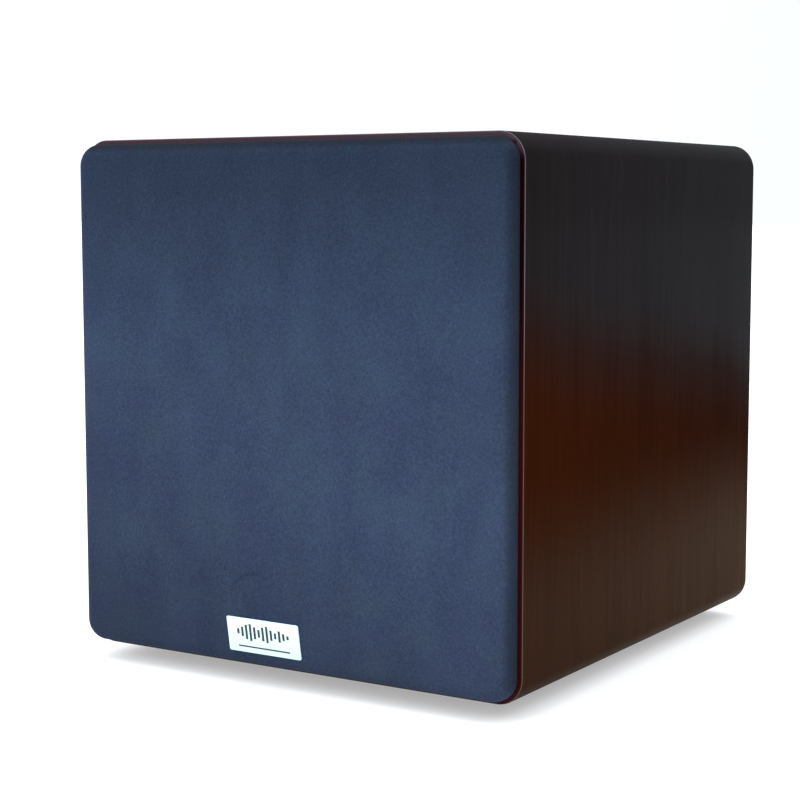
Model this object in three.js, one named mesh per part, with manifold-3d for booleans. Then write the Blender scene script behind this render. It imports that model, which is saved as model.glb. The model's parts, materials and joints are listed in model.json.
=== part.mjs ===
// An active 12-inch subwoofer: a veneered MDF cabinet with a cloth grille, a long-throw driver,
// a reflex port and a plate amplifier on the back.
// Millimetres, +Z up, front towards -Y. The origin is on the floor under the middle of the object.
import * as THREE from "three";
import { mergeVertices } from "three/addons/utils/BufferGeometryUtils.js";
import Module from "manifold-3d";

const wasm = await Module();
wasm.setup();

// ---------------------------------------------------------------- driving dimensions
const GAP = 0.3; // left between neighbouring pieces, as a glue line or a fitting clearance

const CABINET = { width: 404, height: 410, depth: 422, corner: 21 };
const FOOT = { height: 12, radius: 20, x: 140, y: 150 };
const VENEER = 0.8;
const PANEL = 17; // wall thickness under the veneer
const BOARD = 18; // baffle and back panel
const BACK_RECESS = 2;

const HALF_W = CABINET.width / 2;
const HALF_H = CABINET.height / 2;
const BOTTOM = FOOT.height;
const MID_Z = BOTTOM + HALF_H;
const FRONT = -CABINET.depth / 2; // plane of the cabinet's front rim
const REAR = CABINET.depth / 2;
const WALL = VENEER + GAP + PANEL;
const INNER_W = HALF_W - WALL; // half the clear width inside
const INNER_H = HALF_H - WALL;
const BACK_FACE = REAR - BACK_RECESS; // outer face of the back panel

const GRILLE = { proud: 18, inset: 3.5, edge: 12, cloth: 0.7, fold: 14, border: 32, window_corner: 45 };
const PEG = { x: 160, z: 163, radius: 3.6, length: 12 };
const CUP = { outer: 5.7, inner: 4.1, depth: 14, floor: 1 };
const BADGE = { width: 68, height: 26.3, thick: 1.2, x: -13.4, z: 28.3, slant: 0.13, corner: 1.6 };

// The driver's profile: radii, and depths behind the plane of the front rim.
const CUTOUT = { radius: 139, rebate: 155.4, depth: 7.3 };
const FLANGE = { outer: 154, inner: 130, front: 1.5, thick: 1.5 };
const SCREW_CIRCLE = { radius: 148, count: 8, hole: 2.6 };
const CONE = { outer: 107, lip: 113, neck: 26, front: 3, back: 58, thick: 1.2 };
const ROLL = { inner: 113, outer: 133, height: 9, thick: 1.2, seat: 142 };
const CAP = { radius: 57, rise: 17, thick: 0.9 };
const COIL = { radius: 25, former: 0.6, start: 52, end: 104, winding: 18, wire: 1.5 };
const MAGNET = { outer: 70, inner: 33, thick: 20 };
const STEEL = { front: 91, thick: 8, outer: 60, gap_outer: 28.6, pole: 24.2 }; // top plate and yoke
const SPIDER = { outer: 74, inner: 26, depth: 68, rise: 2.6, thick: 0.9, rolls: 3 };
const LEDGE = { outer: 80, inner: 66, depth: 71 }; // the basket's step that carries the spider
const STRIP = { x0: 73, x1: 95, depth: 73.8, thick: 2.1, half: 20, tag: 9, tall: 8 };
const VENT = 8;

const PORT = { z: 90, bore: 38, wall: 3, flange: 52, flange_thick: 3, length: 150, flare: 11 };
const BRACE = { y: 0, thick: 15, border: 34, bar: 30, corner: 30 };
const WADDING = { thick: 25, y0: 20, y1: 130 };

// The amplifier plate and what is on it. Places are x, and z above the floor.
const AMP = { z: 272, half_w: 98, half_h: 120, thick: 2.5, gasket: 1.5, overlap: 13, corner: 6 };
const GASKET_Y = BACK_FACE + GAP;
const PLATE_Y = GASKET_Y + AMP.gasket + GAP;
const PLATE_OUT = PLATE_Y + AMP.thick; // outer face of the plate
const ON_PLATE = PLATE_OUT + GAP; // where pieces fixed to it start
const ON_PORT = GASKET_Y; // the port flange lies against the back panel as the gasket does
const REARMOST = REAR + 19.5; // the tips of the heatsink's fins
const KNOB_ROW = 356;
const VOLUME_X = 55;
const CROSSOVER_X = 8;
const KNOB = { radius: 9.5, top: 8.4, height: 13.5, shaft: 3, skirt: 1.2 };
const POT = { body: 8.5, depth: 10, bushing: 4.5, bore: 3.5 };
const PHASE = { x: -38, travel: 4, slot_w: 9, slot_h: 4.4 };
const LED = { x: -74, radius: 2.5 };
const RCA = { x: 52, z: 308, pitch: 18, barrel: 4.2, long: 9.5, pin: 1.7 };
const CLIPS = { x: -28, z: 308, width: 74, height: 32, pitch: 16, lever_w: 10, hole: 1.9 };
const LEVER = { pivot_y: 213, pivot_z: 315.5, thick: 5, tip_y: 226, tail_y: 209.5 };
const SINK = { z: 248, half_w: 80, half_h: 32, base: 3, fin: 2, fins: 16 };
const MAINS = { x: 0, z: 183, half_w: 32, half_h: 19.5, lip: 3, rim: 3.4, body: 30 };
const INLET = { x: 12, z: 188.5, half_w: 12.3, half_h: 8.3, depth: 17, chamfer: 5 };
const FUSE = { x: 12, z: 172.5, half_w: 11.6, half_h: 3.4, depth: 22, side: 1.3, floor: 1.2, radius: 2.4 };
const ROCKER = { x: -18, half_w: 6.2, half_l: 11, axis_y: 209, tilt: 8, clear: 1.7, well: 16 };
const TRANSFORMER = { x: -60, z: 196, stack: 24, tall: 56, deep: 46, leg: 18, yoke: 9, coil: 46 };
const PCB = { y: 178, thick: 1.6, half_w: 78, z0: 232, z1: 377, post: 3 };
const WIRE = { radius: 1.5, sides: 6 };
const TINSEL = { radius: 0.9, sides: 6 };

// Facets of a full turn, by size.
const LARGE = 32;
const MEDIUM = 24;
const SMALL = 12;
const TINY = 8;
const CORNER_FACETS = 5;

// ---------------------------------------------------------------- solids from three.js geometry
function solid(geometry) {
  const bare = geometry.index ? geometry.toNonIndexed() : geometry.clone();
  for (const name of Object.keys(bare.attributes)) if (name !== "position") bare.deleteAttribute(name);
  const merged = mergeVertices(bare, 1e-4);
  const index = merged.index.array;
  const kept = [];
  for (let i = 0; i < index.length; i += 3) {
    const [a, b, c] = [index[i], index[i + 1], index[i + 2]];
    if (a !== b && b !== c && c !== a) kept.push(a, b, c);
  }
  const vertProperties = merged.attributes.position.array;
  const made = (order) => new wasm.Manifold(new wasm.Mesh({ numProp: 3, vertProperties, triVerts: order }));
  const forward = made(Uint32Array.from(kept));
  return forward.volume() > 0 ? forward : made(Uint32Array.from(kept).reverse());
}

function geometryOf(body) {
  const mesh = body.getMesh();
  const corners = new Float32Array(mesh.triVerts.length * 3);
  mesh.triVerts.forEach((vertex, i) => {
    const start = vertex * mesh.numProp;
    corners.set(mesh.vertProperties.subarray(start, start + 3), i * 3);
  });
  const geometry = new THREE.BufferGeometry();
  geometry.setAttribute("position", new THREE.BufferAttribute(corners, 3));
  geometry.computeVertexNormals();
  return geometry;
}

const join = (first, ...rest) => rest.reduce((a, b) => a.add(b), first);
const cut = (first, ...rest) => rest.reduce((a, b) => a.subtract(b), first);

// A box between two corners.
function block([x0, y0, z0], [x1, y1, z1]) {
  const box = new THREE.BoxGeometry(x1 - x0, y1 - y0, z1 - z0);
  return solid(box.translate((x0 + x1) / 2, (y0 + y1) / 2, (z0 + z1) / 2));
}

// A box centred on (x, z), from y0 to y1.
const slab = (x, z, half_w, half_h, y0, y1) =>
  block([x - half_w, y0, z - half_h], [x + half_w, y1, z + half_h]);

// A closed outline of [radius, y] points turned about the line through (x, z) along Y.
function turned(profile, facets, x = 0, z = 0) {
  const points = profile.map(([r, y]) => new THREE.Vector2(r, y));
  if (profile[0][0] !== 0 || profile[profile.length - 1][0] !== 0) points.push(points[0].clone());
  return solid(new THREE.LatheGeometry(points, facets).translate(x, 0, z));
}

const rod = (radius, y0, y1, facets, x = 0, z = 0) =>
  turned([[0, y0], [radius, y0], [radius, y1], [0, y1]], facets, x, z);

const ring = (inner, outer, y0, y1, facets, x = 0, z = 0) =>
  turned([[inner, y0], [outer, y0], [outer, y1], [inner, y1]], facets, x, z);

// A shape drawn in x and z, extruded from y0 to y1.
function plate(shape, y0, y1, curveSegments = CORNER_FACETS) {
  const geometry = new THREE.ExtrudeGeometry(shape, { depth: y1 - y0, bevelEnabled: false, curveSegments });
  return solid(geometry.rotateX(Math.PI / 2).translate(0, y1, 0));
}

// A shape drawn in y and z, extruded from x0 to x1.
function sidePlate(shape, x0, x1, curveSegments = CORNER_FACETS) {
  const geometry = new THREE.ExtrudeGeometry(shape, { depth: x1 - x0, bevelEnabled: false, curveSegments });
  const turn = new THREE.Matrix4().set(0, 0, 1, x0, 1, 0, 0, 0, 0, 1, 0, 0, 0, 0, 0, 1);
  return solid(geometry.applyMatrix4(turn));
}

function roundedRect(half_w, half_h, r, x = 0, z = 0) {
  const shape = new THREE.Shape();
  shape.absarc(x + half_w - r, z - half_h + r, r, -Math.PI / 2, 0);
  shape.absarc(x + half_w - r, z + half_h - r, r, 0, Math.PI / 2);
  shape.absarc(x - half_w + r, z + half_h - r, r, Math.PI / 2, Math.PI);
  shape.absarc(x - half_w + r, z - half_h + r, r, Math.PI, Math.PI * 1.5);
  shape.closePath();
  return shape;
}

function polygon(points) {
  return new THREE.Shape(points.map(([a, b]) => new THREE.Vector2(a, b)));
}

// A round tube along a smooth curve through the points.
function tube(points, { radius, sides }, steps) {
  const section = new THREE.Shape(
    Array.from({ length: sides }, (_, i) => {
      const turn = (i / sides) * 2 * Math.PI;
      return new THREE.Vector2(radius * Math.cos(turn), radius * Math.sin(turn));
    }),
  );
  const path = new THREE.CatmullRomCurve3(points.map((p) => new THREE.Vector3(...p)));
  return solid(new THREE.ExtrudeGeometry(section, { extrudePath: path, steps, bevelEnabled: false }));
}

// ---------------------------------------------------------------- materials
const finish = (color, roughness, metalness = 0) =>
  new THREE.MeshStandardMaterial({ color, roughness, metalness });
const MATERIAL = {
  veneer: finish(0x36150a, 0.25),
  mdf: finish(0x8a6a48, 0.85),
  black_board: finish(0x141212, 0.7),
  cloth: finish(0x3b4860, 0.95),
  frame: finish(0x17181a, 0.6),
  badge: finish(0xd3f1f9, 0.35, 0.3),
  rubber: finish(0x151515, 0.8),
  steel_black: finish(0x18191b, 0.45, 0.6),
  paper: finish(0x1c1c1e, 0.9),
  spider: finish(0xb38a3f, 0.9),
  kapton: finish(0x9a5a1c, 0.4),
  copper: finish(0xb06a36, 0.35, 1),
  zinc: finish(0xa9adb2, 0.4, 1),
  ferrite: finish(0x2a2b2e, 0.7),
  foam: finish(0x222222, 0.95),
  wadding: finish(0xe6e4de, 1),
  plastic: finish(0x121213, 0.5),
  amp: finish(0x1a1b1d, 0.45, 0.5),
  board: finish(0x1d5a34, 0.5),
  core: finish(0x6b6e73, 0.5, 0.8),
  winding: finish(0xd8b04a, 0.5),
  red: finish(0xb01c18, 0.45),
  led: finish(0x2f8f46, 0.3),
  tinsel: finish(0xb9bcc0, 0.4, 1),
  glass: finish(0xcfd6d8, 0.15),
};

const part = new THREE.Group();

function add(name, body, material, group = part) {
  const mesh = new THREE.Mesh(geometryOf(body), material);
  mesh.name = name;
  group.add(mesh);
  return mesh;
}

// ---------------------------------------------------------------- cabinet
// The veneer is one skin right round the four walls, with its seams hidden at the bottom.
function veneerWrap() {
  const outer = roundedRect(HALF_W, HALF_H, CABINET.corner, 0, MID_Z);
  outer.holes.push(roundedRect(HALF_W - VENEER, HALF_H - VENEER, CABINET.corner - VENEER, 0, MID_Z));
  return plate(outer, FRONT, REAR);
}

// The walls are mitred at 45 degrees from the inside corners, so each keeps half of two rounded edges.
// across is true for the top and the bottom wall; sign is 1 for the top and the right, -1 for the others.
function wall(across, sign) {
  const skin = VENEER + GAP;
  const box = roundedRect(HALF_W - skin, HALF_H - skin, CABINET.corner - skin, 0, MID_Z);
  box.holes.push(innerOutline(0));
  const reach = 60; // takes the mitres well past the outline
  const slit = GAP / Math.SQRT2;
  const [long, short] = across ? [INNER_W, INNER_H] : [INNER_H, INNER_W];
  const wedge = [
    [-long + reach + slit, short - reach],
    [long - reach - slit, short - reach],
    [long + reach - slit, short + reach],
    [-long - reach + slit, short + reach],
  ].map(([along, out]) => (across ? [along, MID_Z + sign * out] : [sign * out, MID_Z + along]));
  return plate(box, FRONT, REAR).intersect(plate(polygon(wedge), FRONT - 1, REAR + 1));
}

// The outline of a board let in between the walls, with slack all round.
function innerOutline(slack) {
  const w = INNER_W - slack;
  const h = INNER_H - slack;
  return polygon([[-w, MID_Z - h], [w, MID_Z - h], [w, MID_Z + h], [-w, MID_Z + h]]);
}

const cornerPlaces = (x, z) => [[-x, -z], [x, -z], [-x, z], [x, z]];

function frontBaffle() {
  const cups = cornerPlaces(PEG.x, PEG.z).map(([x, z]) =>
    rod(CUP.outer + GAP, FRONT - 1, FRONT + CUP.depth + GAP, SMALL, x, MID_Z + z));
  return cut(
    plate(innerOutline(GAP), FRONT, FRONT + BOARD),
    rod(CUTOUT.radius, FRONT - 1, FRONT + BOARD + 1, LARGE, 0, MID_Z),
    rod(CUTOUT.rebate, FRONT - 1, FRONT + CUTOUT.depth, LARGE, 0, MID_Z),
    ...cups,
  );
}

const ampCutout = (slack = 0) =>
  roundedRect(AMP.half_w - AMP.overlap + slack, AMP.half_h - AMP.overlap + slack, AMP.corner, 0, AMP.z);

function backPanel() {
  return cut(
    plate(innerOutline(GAP), BACK_FACE - BOARD, BACK_FACE),
    plate(ampCutout(), BACK_FACE - BOARD - 1, BACK_FACE + 1),
    rod(PORT.bore + PORT.wall + 1, BACK_FACE - BOARD - 1, BACK_FACE + 1, LARGE, 0, PORT.z),
  );
}

// A frame with one cross bar that ties the four walls together halfway back.
function windowBrace() {
  const half_w = INNER_W - GAP - BRACE.border;
  const half_h = (INNER_H - GAP - BRACE.border - BRACE.bar / 2) / 2;
  const outline = innerOutline(GAP);
  for (const side of [-1, 1]) {
    outline.holes.push(roundedRect(half_w, half_h, BRACE.corner, 0, MID_Z + side * (BRACE.bar / 2 + half_h)));
  }
  return plate(outline, BRACE.y, BRACE.y + BRACE.thick, 4);
}

// Polyester wadding lines both sides and the top behind the brace.
function waddingPad() {
  const outer_w = INNER_W - GAP;
  const top = MID_Z + INNER_H - GAP;
  const foot = BOTTOM + WALL + 60;
  const shape = polygon([
    [-outer_w, foot], [-outer_w + WADDING.thick, foot], [-outer_w + WADDING.thick, top - WADDING.thick],
    [outer_w - WADDING.thick, top - WADDING.thick], [outer_w - WADDING.thick, foot], [outer_w, foot],
    [outer_w, top], [-outer_w, top],
  ]);
  return plate(shape, WADDING.y0, WADDING.y1);
}

function foot(x, y) {
  const top = FOOT.height - GAP;
  const profile = [[0, 0], [FOOT.radius - 3, 0], [FOOT.radius, 3], [FOOT.radius - 2, top], [0, top]];
  const points = profile.map(([r, z]) => new THREE.Vector2(r, z));
  return solid(new THREE.LatheGeometry(points, MEDIUM).rotateX(Math.PI / 2).translate(x, y, 0));
}

function portTube() {
  const inner = PORT.bore;
  const outer = PORT.bore + PORT.wall;
  const lip = ON_PORT + PORT.flange_thick;
  const flare = [0, 1, 2, 3].map((i) => {
    const turn = (i / 3) * (Math.PI / 2);
    return [inner + PORT.flare * (1 - Math.cos(turn)), lip - PORT.flare * (1 - Math.sin(turn))];
  });
  return turned([
    [inner, lip - PORT.length], ...flare, [PORT.flange, lip - 1], [PORT.flange, ON_PORT], [outer, ON_PORT],
    [outer, lip - PORT.length + 1], [outer - 1, lip - PORT.length],
  ], LARGE, 0, PORT.z);
}

// ---------------------------------------------------------------- driver
const depth = (s) => FRONT + s;
const profileAt = (points) => points.map(([r, s]) => [r, depth(s)]);

// A stamped frame: a flat flange, a skirt, six spokes, the spider's ledge and the magnet's seat.
function basket() {
  const t = FLANGE.thick;
  const seat = STEEL.front - GAP;
  const back = FLANGE.front + t;
  const shell = turned(profileAt([
    [FLANGE.inner, FLANGE.front], [FLANGE.outer, FLANGE.front], [FLANGE.outer, back + 2.5],
    [FLANGE.outer - t, back + 2.5], [FLANGE.outer - t, back], [136, back], [130, 26],
    [LEDGE.outer, LEDGE.depth + t + 1], [LEDGE.outer - 8, LEDGE.depth + t + 1],
    [62, seat], [42, seat], [42, seat - t], [60, seat - t], [LEDGE.inner, LEDGE.depth],
    [LEDGE.outer - 1, LEDGE.depth], [126, 25],
  ]), LARGE, 0, MID_Z);
  const windows = [];
  const spokes = 6;
  for (let i = 0; i < spokes; i++) {
    const sector = new THREE.Shape();
    const half = 0.36; // radians either side of the window's middle
    sector.absarc(0, 0, 121, -half, half, false);
    sector.absarc(0, 0, 88, half, -half, true);
    sector.closePath();
    const turn = ((i + 0.5) / spokes) * 2 * Math.PI;
    const geometry = new THREE.ExtrudeGeometry(sector, { depth: 80, bevelEnabled: false, curveSegments: 4 });
    geometry.rotateX(Math.PI / 2).translate(0, depth(95), 0).rotateY(turn).translate(0, 0, MID_Z);
    windows.push(solid(geometry));
  }
  const holes = [];
  for (let i = 0; i < SCREW_CIRCLE.count; i++) {
    const turn = ((i + 0.5) / SCREW_CIRCLE.count) * 2 * Math.PI;
    const x = SCREW_CIRCLE.radius * Math.cos(turn);
    const z = MID_Z + SCREW_CIRCLE.radius * Math.sin(turn);
    holes.push(rod(SCREW_CIRCLE.hole, depth(0), depth(back + 1), 8, x, z));
  }
  return cut(shell, ...windows, ...holes);
}

const gasket = () =>
  ring(CUTOUT.radius + 1, SCREW_CIRCLE.radius - 5,
    depth(FLANGE.front + FLANGE.thick + GAP), depth(CUTOUT.depth - GAP), LARGE, 0, MID_Z);

// A half-roll rubber surround with a flat lip on the frame and one on the cone.
function surround() {
  const middle = (ROLL.inner + ROLL.outer) / 2;
  const half = (ROLL.outer - ROLL.inner) / 2;
  const seat = FLANGE.front - GAP;
  const arc = (r, h, steps) =>
    Array.from({ length: steps + 1 }, (_, i) => {
      const turn = Math.PI * (1 - i / steps);
      return [middle + r * Math.cos(turn), seat - ROLL.thick - h * Math.sin(turn)];
    });
  const outside = arc(half, ROLL.height, 6);
  const inside = arc(half - ROLL.thick, ROLL.height - ROLL.thick, 6).reverse();
  return turned(profileAt([
    [CONE.outer + 1, seat - ROLL.thick], ...outside, [ROLL.seat, seat - ROLL.thick], [ROLL.seat, seat],
    [ROLL.outer - ROLL.thick, seat], ...inside, [ROLL.inner + ROLL.thick, seat], [CONE.outer + 1, seat],
  ]), LARGE, 0, MID_Z);
}

// The cone's front face as [radius, depth], from the neck to the lip.
const CONE_FACE = [[CONE.neck, CONE.back - 1], [63, 32.6], [CONE.outer - 1, CONE.front - 1.4]];

function cone() {
  const t = CONE.thick;
  const [neck, middle, edge] = CONE_FACE;
  const back = [
    [CONE.lip, edge[1]], [CONE.lip, edge[1] + t], [CONE.outer, edge[1] + 1.4 + t],
    [middle[0] + 1, middle[1] + 1.4 + t], [neck[0] + 2, CONE.back + t], [neck[0], CONE.back + t],
  ];
  return turned(profileAt([...back, neck, middle, edge]), LARGE, 0, MID_Z);
}

// A shallow dome glued to the cone's face.
function dustCap() {
  const [neck, middle] = CONE_FACE;
  const share = (CAP.radius - neck[0]) / (middle[0] - neck[0]);
  const base = neck[1] + share * (middle[1] - neck[1]) - 2 * GAP;
  const steps = 5;
  const dome = (radius, rise) =>
    Array.from({ length: steps + 1 }, (_, i) => {
      const out = i / steps;
      return [radius * out, base - 1 - rise * (1 - out * out)];
    });
  const outside = dome(CAP.radius, CAP.rise);
  const inside = dome(CAP.radius - CAP.thick, CAP.rise - CAP.thick).reverse();
  return turned(profileAt([...outside, [CAP.radius - CAP.thick, base], ...inside]), MEDIUM, 0, MID_Z);
}

const coilFormer = () =>
  ring(COIL.radius, COIL.radius + COIL.former, depth(COIL.start), depth(COIL.end), MEDIUM, 0, MID_Z);

const coilWinding = () =>
  ring(COIL.radius + COIL.former + GAP, COIL.radius + COIL.former + GAP + COIL.wire,
    depth(COIL.end - COIL.winding), depth(COIL.end), MEDIUM, 0, MID_Z);

// A corrugated cloth disc that centres the voice coil.
function spider() {
  const first = SPIDER.inner + 5;
  const last = SPIDER.outer - 7;
  const points = [[SPIDER.inner, SPIDER.depth], [first, SPIDER.depth]];
  for (let i = 0; i < SPIDER.rolls * 2; i++) {
    const r = first + ((last - first) * (i + 0.5)) / (SPIDER.rolls * 2);
    points.push([r, SPIDER.depth + (i % 2 ? SPIDER.rise : -SPIDER.rise) / 2]);
  }
  points.push([last, SPIDER.depth + 1.4], [SPIDER.outer, SPIDER.depth + 1.4]);
  const under = points.map(([r, s]) => [r, s + SPIDER.thick]).reverse();
  return turned(profileAt([...points, ...under]), MEDIUM, 0, MID_Z);
}

const topPlate = () =>
  ring(STEEL.gap_outer, STEEL.outer, depth(STEEL.front), depth(STEEL.front + STEEL.thick), MEDIUM, 0, MID_Z);

const MAGNET_FRONT = STEEL.front + STEEL.thick + GAP;
const YOKE_FRONT = MAGNET_FRONT + MAGNET.thick + GAP;

const magnetRing = () =>
  ring(MAGNET.inner, MAGNET.outer, depth(MAGNET_FRONT), depth(MAGNET_FRONT + MAGNET.thick), MEDIUM, 0, MID_Z);

// The back plate and the pole in one piece, with the pole's vent through it.
function yoke() {
  const back = YOKE_FRONT + STEEL.thick;
  return turned(profileAt([
    [VENT, STEEL.front], [STEEL.pole, STEEL.front], [STEEL.pole, YOKE_FRONT],
    [STEEL.outer, YOKE_FRONT], [STEEL.outer, back], [VENT + 4, back], [VENT, back - 4],
  ]), MEDIUM, 0, MID_Z);
}

// The terminal strip is riveted behind the basket's ledge, on the right, across one spoke.
function terminalStrip() {
  const back = STRIP.depth + STRIP.thick;
  const tags = [-1, 1].map((side) => {
    const z = MID_Z + side * STRIP.tag;
    return block([STRIP.x1 - 5, depth(back - 1), z - 2.4], [STRIP.x1 - 4, depth(back + STRIP.tall), z + 2.4]);
  });
  const board = block(
    [STRIP.x0, depth(STRIP.depth), MID_Z - STRIP.half],
    [STRIP.x1, depth(back), MID_Z + STRIP.half],
  );
  return join(board, ...tags);
}

// Braided leads loop from the strip, past the spoke, to the back of the cone.
function tinselLead(side) {
  const start = [92, STRIP.depth - 1.3, 17];
  const path = [start, [93, 66, 18], [89, 56, 19], [76, 50, 17], [60, 48, 14], [47, 46.9, 10.5]];
  return tube(path.map(([x, s, z]) => [x, depth(s), MID_Z + side * z]), TINSEL, 10);
}

// ---------------------------------------------------------------- grille
// A rounded board with its front edges rolled over, from y0 at the front to y1 at the back.
function pillow(half_w, half_h, corner, edge, y0, y1) {
  const shape = roundedRect(half_w, half_h, corner, 0, MID_Z);
  const geometry = new THREE.ExtrudeGeometry(shape, {
    depth: y1 - y0,
    bevelSize: edge,
    bevelOffset: -edge,
    bevelThickness: edge,
    bevelSegments: 3,
    curveSegments: CORNER_FACETS,
  });
  const rolled = solid(geometry.rotateX(Math.PI / 2).translate(0, y1 + edge, 0));
  return rolled.intersect(block([-HALF_W, y0 - 1, 0], [HALF_W, y1, BOTTOM + CABINET.height]));
}

const CLOTH_FRONT = FRONT - GRILLE.proud;
const GRILLE_W = HALF_W - GRILLE.inset;
const GRILLE_H = HALF_H - GRILLE.inset;
const GRILLE_CORNER = CABINET.corner - GRILLE.inset;
const FOLD_BACK = FRONT - 2 * GAP;

// The grille's outside shape, taken in by inset all round and cut off at y1.
function grillePillow(inset, y1) {
  return pillow(
    GRILLE_W - inset, GRILLE_H - inset, GRILLE_CORNER - inset, GRILLE.edge - inset, CLOTH_FRONT + inset, y1,
  );
}

function grilleFrame() {
  const skin = GRILLE.cloth + GAP;
  const back = FRONT - GAP;
  const board = grillePillow(skin, back);
  const window_w = GRILLE_W - GRILLE.border;
  const window_h = GRILLE_H - GRILLE.border;
  const opening = plate(roundedRect(window_w, window_h, GRILLE.window_corner, 0, MID_Z), CLOTH_FRONT, FRONT);
  const strip = roundedRect(GRILLE_W + 1, GRILLE_H + 1, GRILLE_CORNER, 0, MID_Z);
  const hold = GRILLE.fold + GAP;
  strip.holes.push(roundedRect(GRILLE_W - hold, GRILLE_H - hold, GRILLE_CORNER - hold, 0, MID_Z));
  const rebate = plate(strip, FOLD_BACK - skin, FRONT);
  const tip = FRONT + PEG.length;
  const peg = [[0, back - 2], [PEG.radius, back - 2], [PEG.radius, tip - 2], [PEG.radius - 1.2, tip], [0, tip]];
  const pegs = cornerPlaces(PEG.x, PEG.z).map(([x, z]) => turned(peg, SMALL, x, MID_Z + z));
  return join(cut(board, opening, rebate), ...pegs);
}

// Cloth pulled over the frame's front and edges and glued to a rebate behind.
function grilleCloth() {
  const t = GRILLE.cloth;
  const outer = grillePillow(0, FOLD_BACK);
  const hollow = grillePillow(t, FOLD_BACK - t);
  const hold = GRILLE.fold;
  const mouth = roundedRect(GRILLE_W - hold, GRILLE_H - hold, GRILLE_CORNER - hold, 0, MID_Z);
  return cut(outer, hollow, plate(mouth, FOLD_BACK - 2 * t, FOLD_BACK + 1));
}

function badgePlate() {
  const shape = roundedRect(BADGE.width / 2, BADGE.height / 2, BADGE.corner);
  const y1 = CLOTH_FRONT - GAP;
  const flat = plate(shape, y1 - BADGE.thick, y1, 3);
  const lean = new THREE.Matrix4().makeShear(0, 0, 0, 0, -BADGE.slant, 0);
  return solid(geometryOf(flat).applyMatrix4(lean).translate(BADGE.x, 0, BOTTOM + BADGE.z));
}

function grilleCup(x, z) {
  return turned([
    [0, FRONT + CUP.depth - CUP.floor], [CUP.inner, FRONT + CUP.depth - CUP.floor], [CUP.inner, FRONT + GAP],
    [CUP.outer, FRONT + GAP], [CUP.outer, FRONT + CUP.depth], [0, FRONT + CUP.depth],
  ], SMALL, x, MID_Z + z);
}

// ---------------------------------------------------------------- amplifier
const clipPlaces = [-1.5, -0.5, 0.5, 1.5].map((i) => CLIPS.x + i * CLIPS.pitch);
const rcaPlaces = [RCA.x - RCA.pitch / 2, RCA.x + RCA.pitch / 2];

function ampPlate() {
  const face = roundedRect(AMP.half_w, AMP.half_h, AMP.corner, 0, AMP.z);
  const y0 = PLATE_Y - 1;
  const y1 = PLATE_OUT + 1;
  const window = (half_w, half_h, x, z) => plate(roundedRect(half_w, half_h, 1, x, z), y0, y1, 1);
  return cut(
    plate(face, PLATE_Y, PLATE_OUT),
    ...[VOLUME_X, CROSSOVER_X].map((x) => rod(POT.bushing + GAP, y0, y1, SMALL, x, KNOB_ROW)),
    window(PHASE.slot_w / 2, PHASE.slot_h / 2, PHASE.x, KNOB_ROW),
    rod(LED.radius + GAP, y0, y1, SMALL, LED.x, KNOB_ROW),
    window(CLIPS.width / 2 - 3, CLIPS.height / 2 - 3, CLIPS.x, CLIPS.z),
    ...rcaPlaces.map((x) => rod(RCA.barrel + 1, y0, y1, SMALL, x, RCA.z)),
    window(MAINS.half_w - 3, MAINS.half_h - 3, MAINS.x, MAINS.z),
  );
}

function ampGasket() {
  const outer = roundedRect(AMP.half_w - 1, AMP.half_h - 1, AMP.corner, 0, AMP.z);
  outer.holes.push(ampCutout(1));
  return plate(outer, GASKET_Y, GASKET_Y + AMP.gasket, 3);
}

// Vertical fins on a flat base.
function heatsink() {
  const pitch = (2 * SINK.half_w - SINK.fin) / (SINK.fins - 1);
  const points = [[-SINK.half_w, ON_PLATE], [SINK.half_w, ON_PLATE]];
  for (let i = SINK.fins - 1; i >= 0; i--) {
    const x = -SINK.half_w + i * pitch;
    points.push([x + SINK.fin, REARMOST], [x, REARMOST]);
    if (i) points.push([x, ON_PLATE + SINK.base], [x - pitch + SINK.fin, ON_PLATE + SINK.base]);
  }
  const tall = 2 * SINK.half_h;
  const geometry = new THREE.ExtrudeGeometry(polygon(points), { depth: tall, bevelEnabled: false });
  return solid(geometry.translate(0, 0, SINK.z - SINK.half_h));
}

function potentiometer(x) {
  const back = PLATE_Y - GAP;
  const body = turned([
    [0, back - POT.depth], [POT.body, back - POT.depth], [POT.body, back], [POT.bushing, back],
    [POT.bushing, PLATE_OUT + 1.2], [POT.bore, PLATE_OUT + 1.2], [POT.bore, back - 3], [0, back - 3],
  ], SMALL, x, KNOB_ROW);
  const tags = slab(x, KNOB_ROW - POT.body - 1.5, 6, 3.5, back - POT.depth + 2, back - POT.depth + 3.2);
  return join(body, tags);
}

// A skirted knob with a pointer groove, pressed on the control's shaft.
function knob(x) {
  const y0 = PLATE_OUT + 1.5;
  const y1 = y0 + KNOB.height;
  const body = turned([
    [0, PLATE_Y - 3], [KNOB.shaft, PLATE_Y - 3], [KNOB.shaft, y0], [KNOB.radius + KNOB.skirt, y0],
    [KNOB.radius + KNOB.skirt, y0 + 2], [KNOB.radius, y0 + 3],
    [KNOB.top, y1 - 1], [KNOB.top - 1, y1], [0, y1],
  ], MEDIUM, x, KNOB_ROW);
  const pointer = block([x - 0.6, y0 + 4, KNOB_ROW + 2], [x + 0.6, y1 + 1, KNOB_ROW + KNOB.radius + 1])
    .subtract(block([x - 1, y0, KNOB_ROW], [x + 1, y1 - 0.8, KNOB_ROW + KNOB.top - 0.8]));
  return cut(body, pointer);
}

function phaseSwitchBody() {
  const y1 = PLATE_Y - GAP;
  return cut(
    join(
      slab(PHASE.x, KNOB_ROW, 9, 4.5, y1 - 9, y1),
      slab(PHASE.x, KNOB_ROW, 14, 4.5, y1 - 1, y1),
    ),
    slab(PHASE.x, KNOB_ROW, PHASE.slot_w / 2, PHASE.slot_h / 2, y1 - 6, y1 + 1),
  );
}

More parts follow.
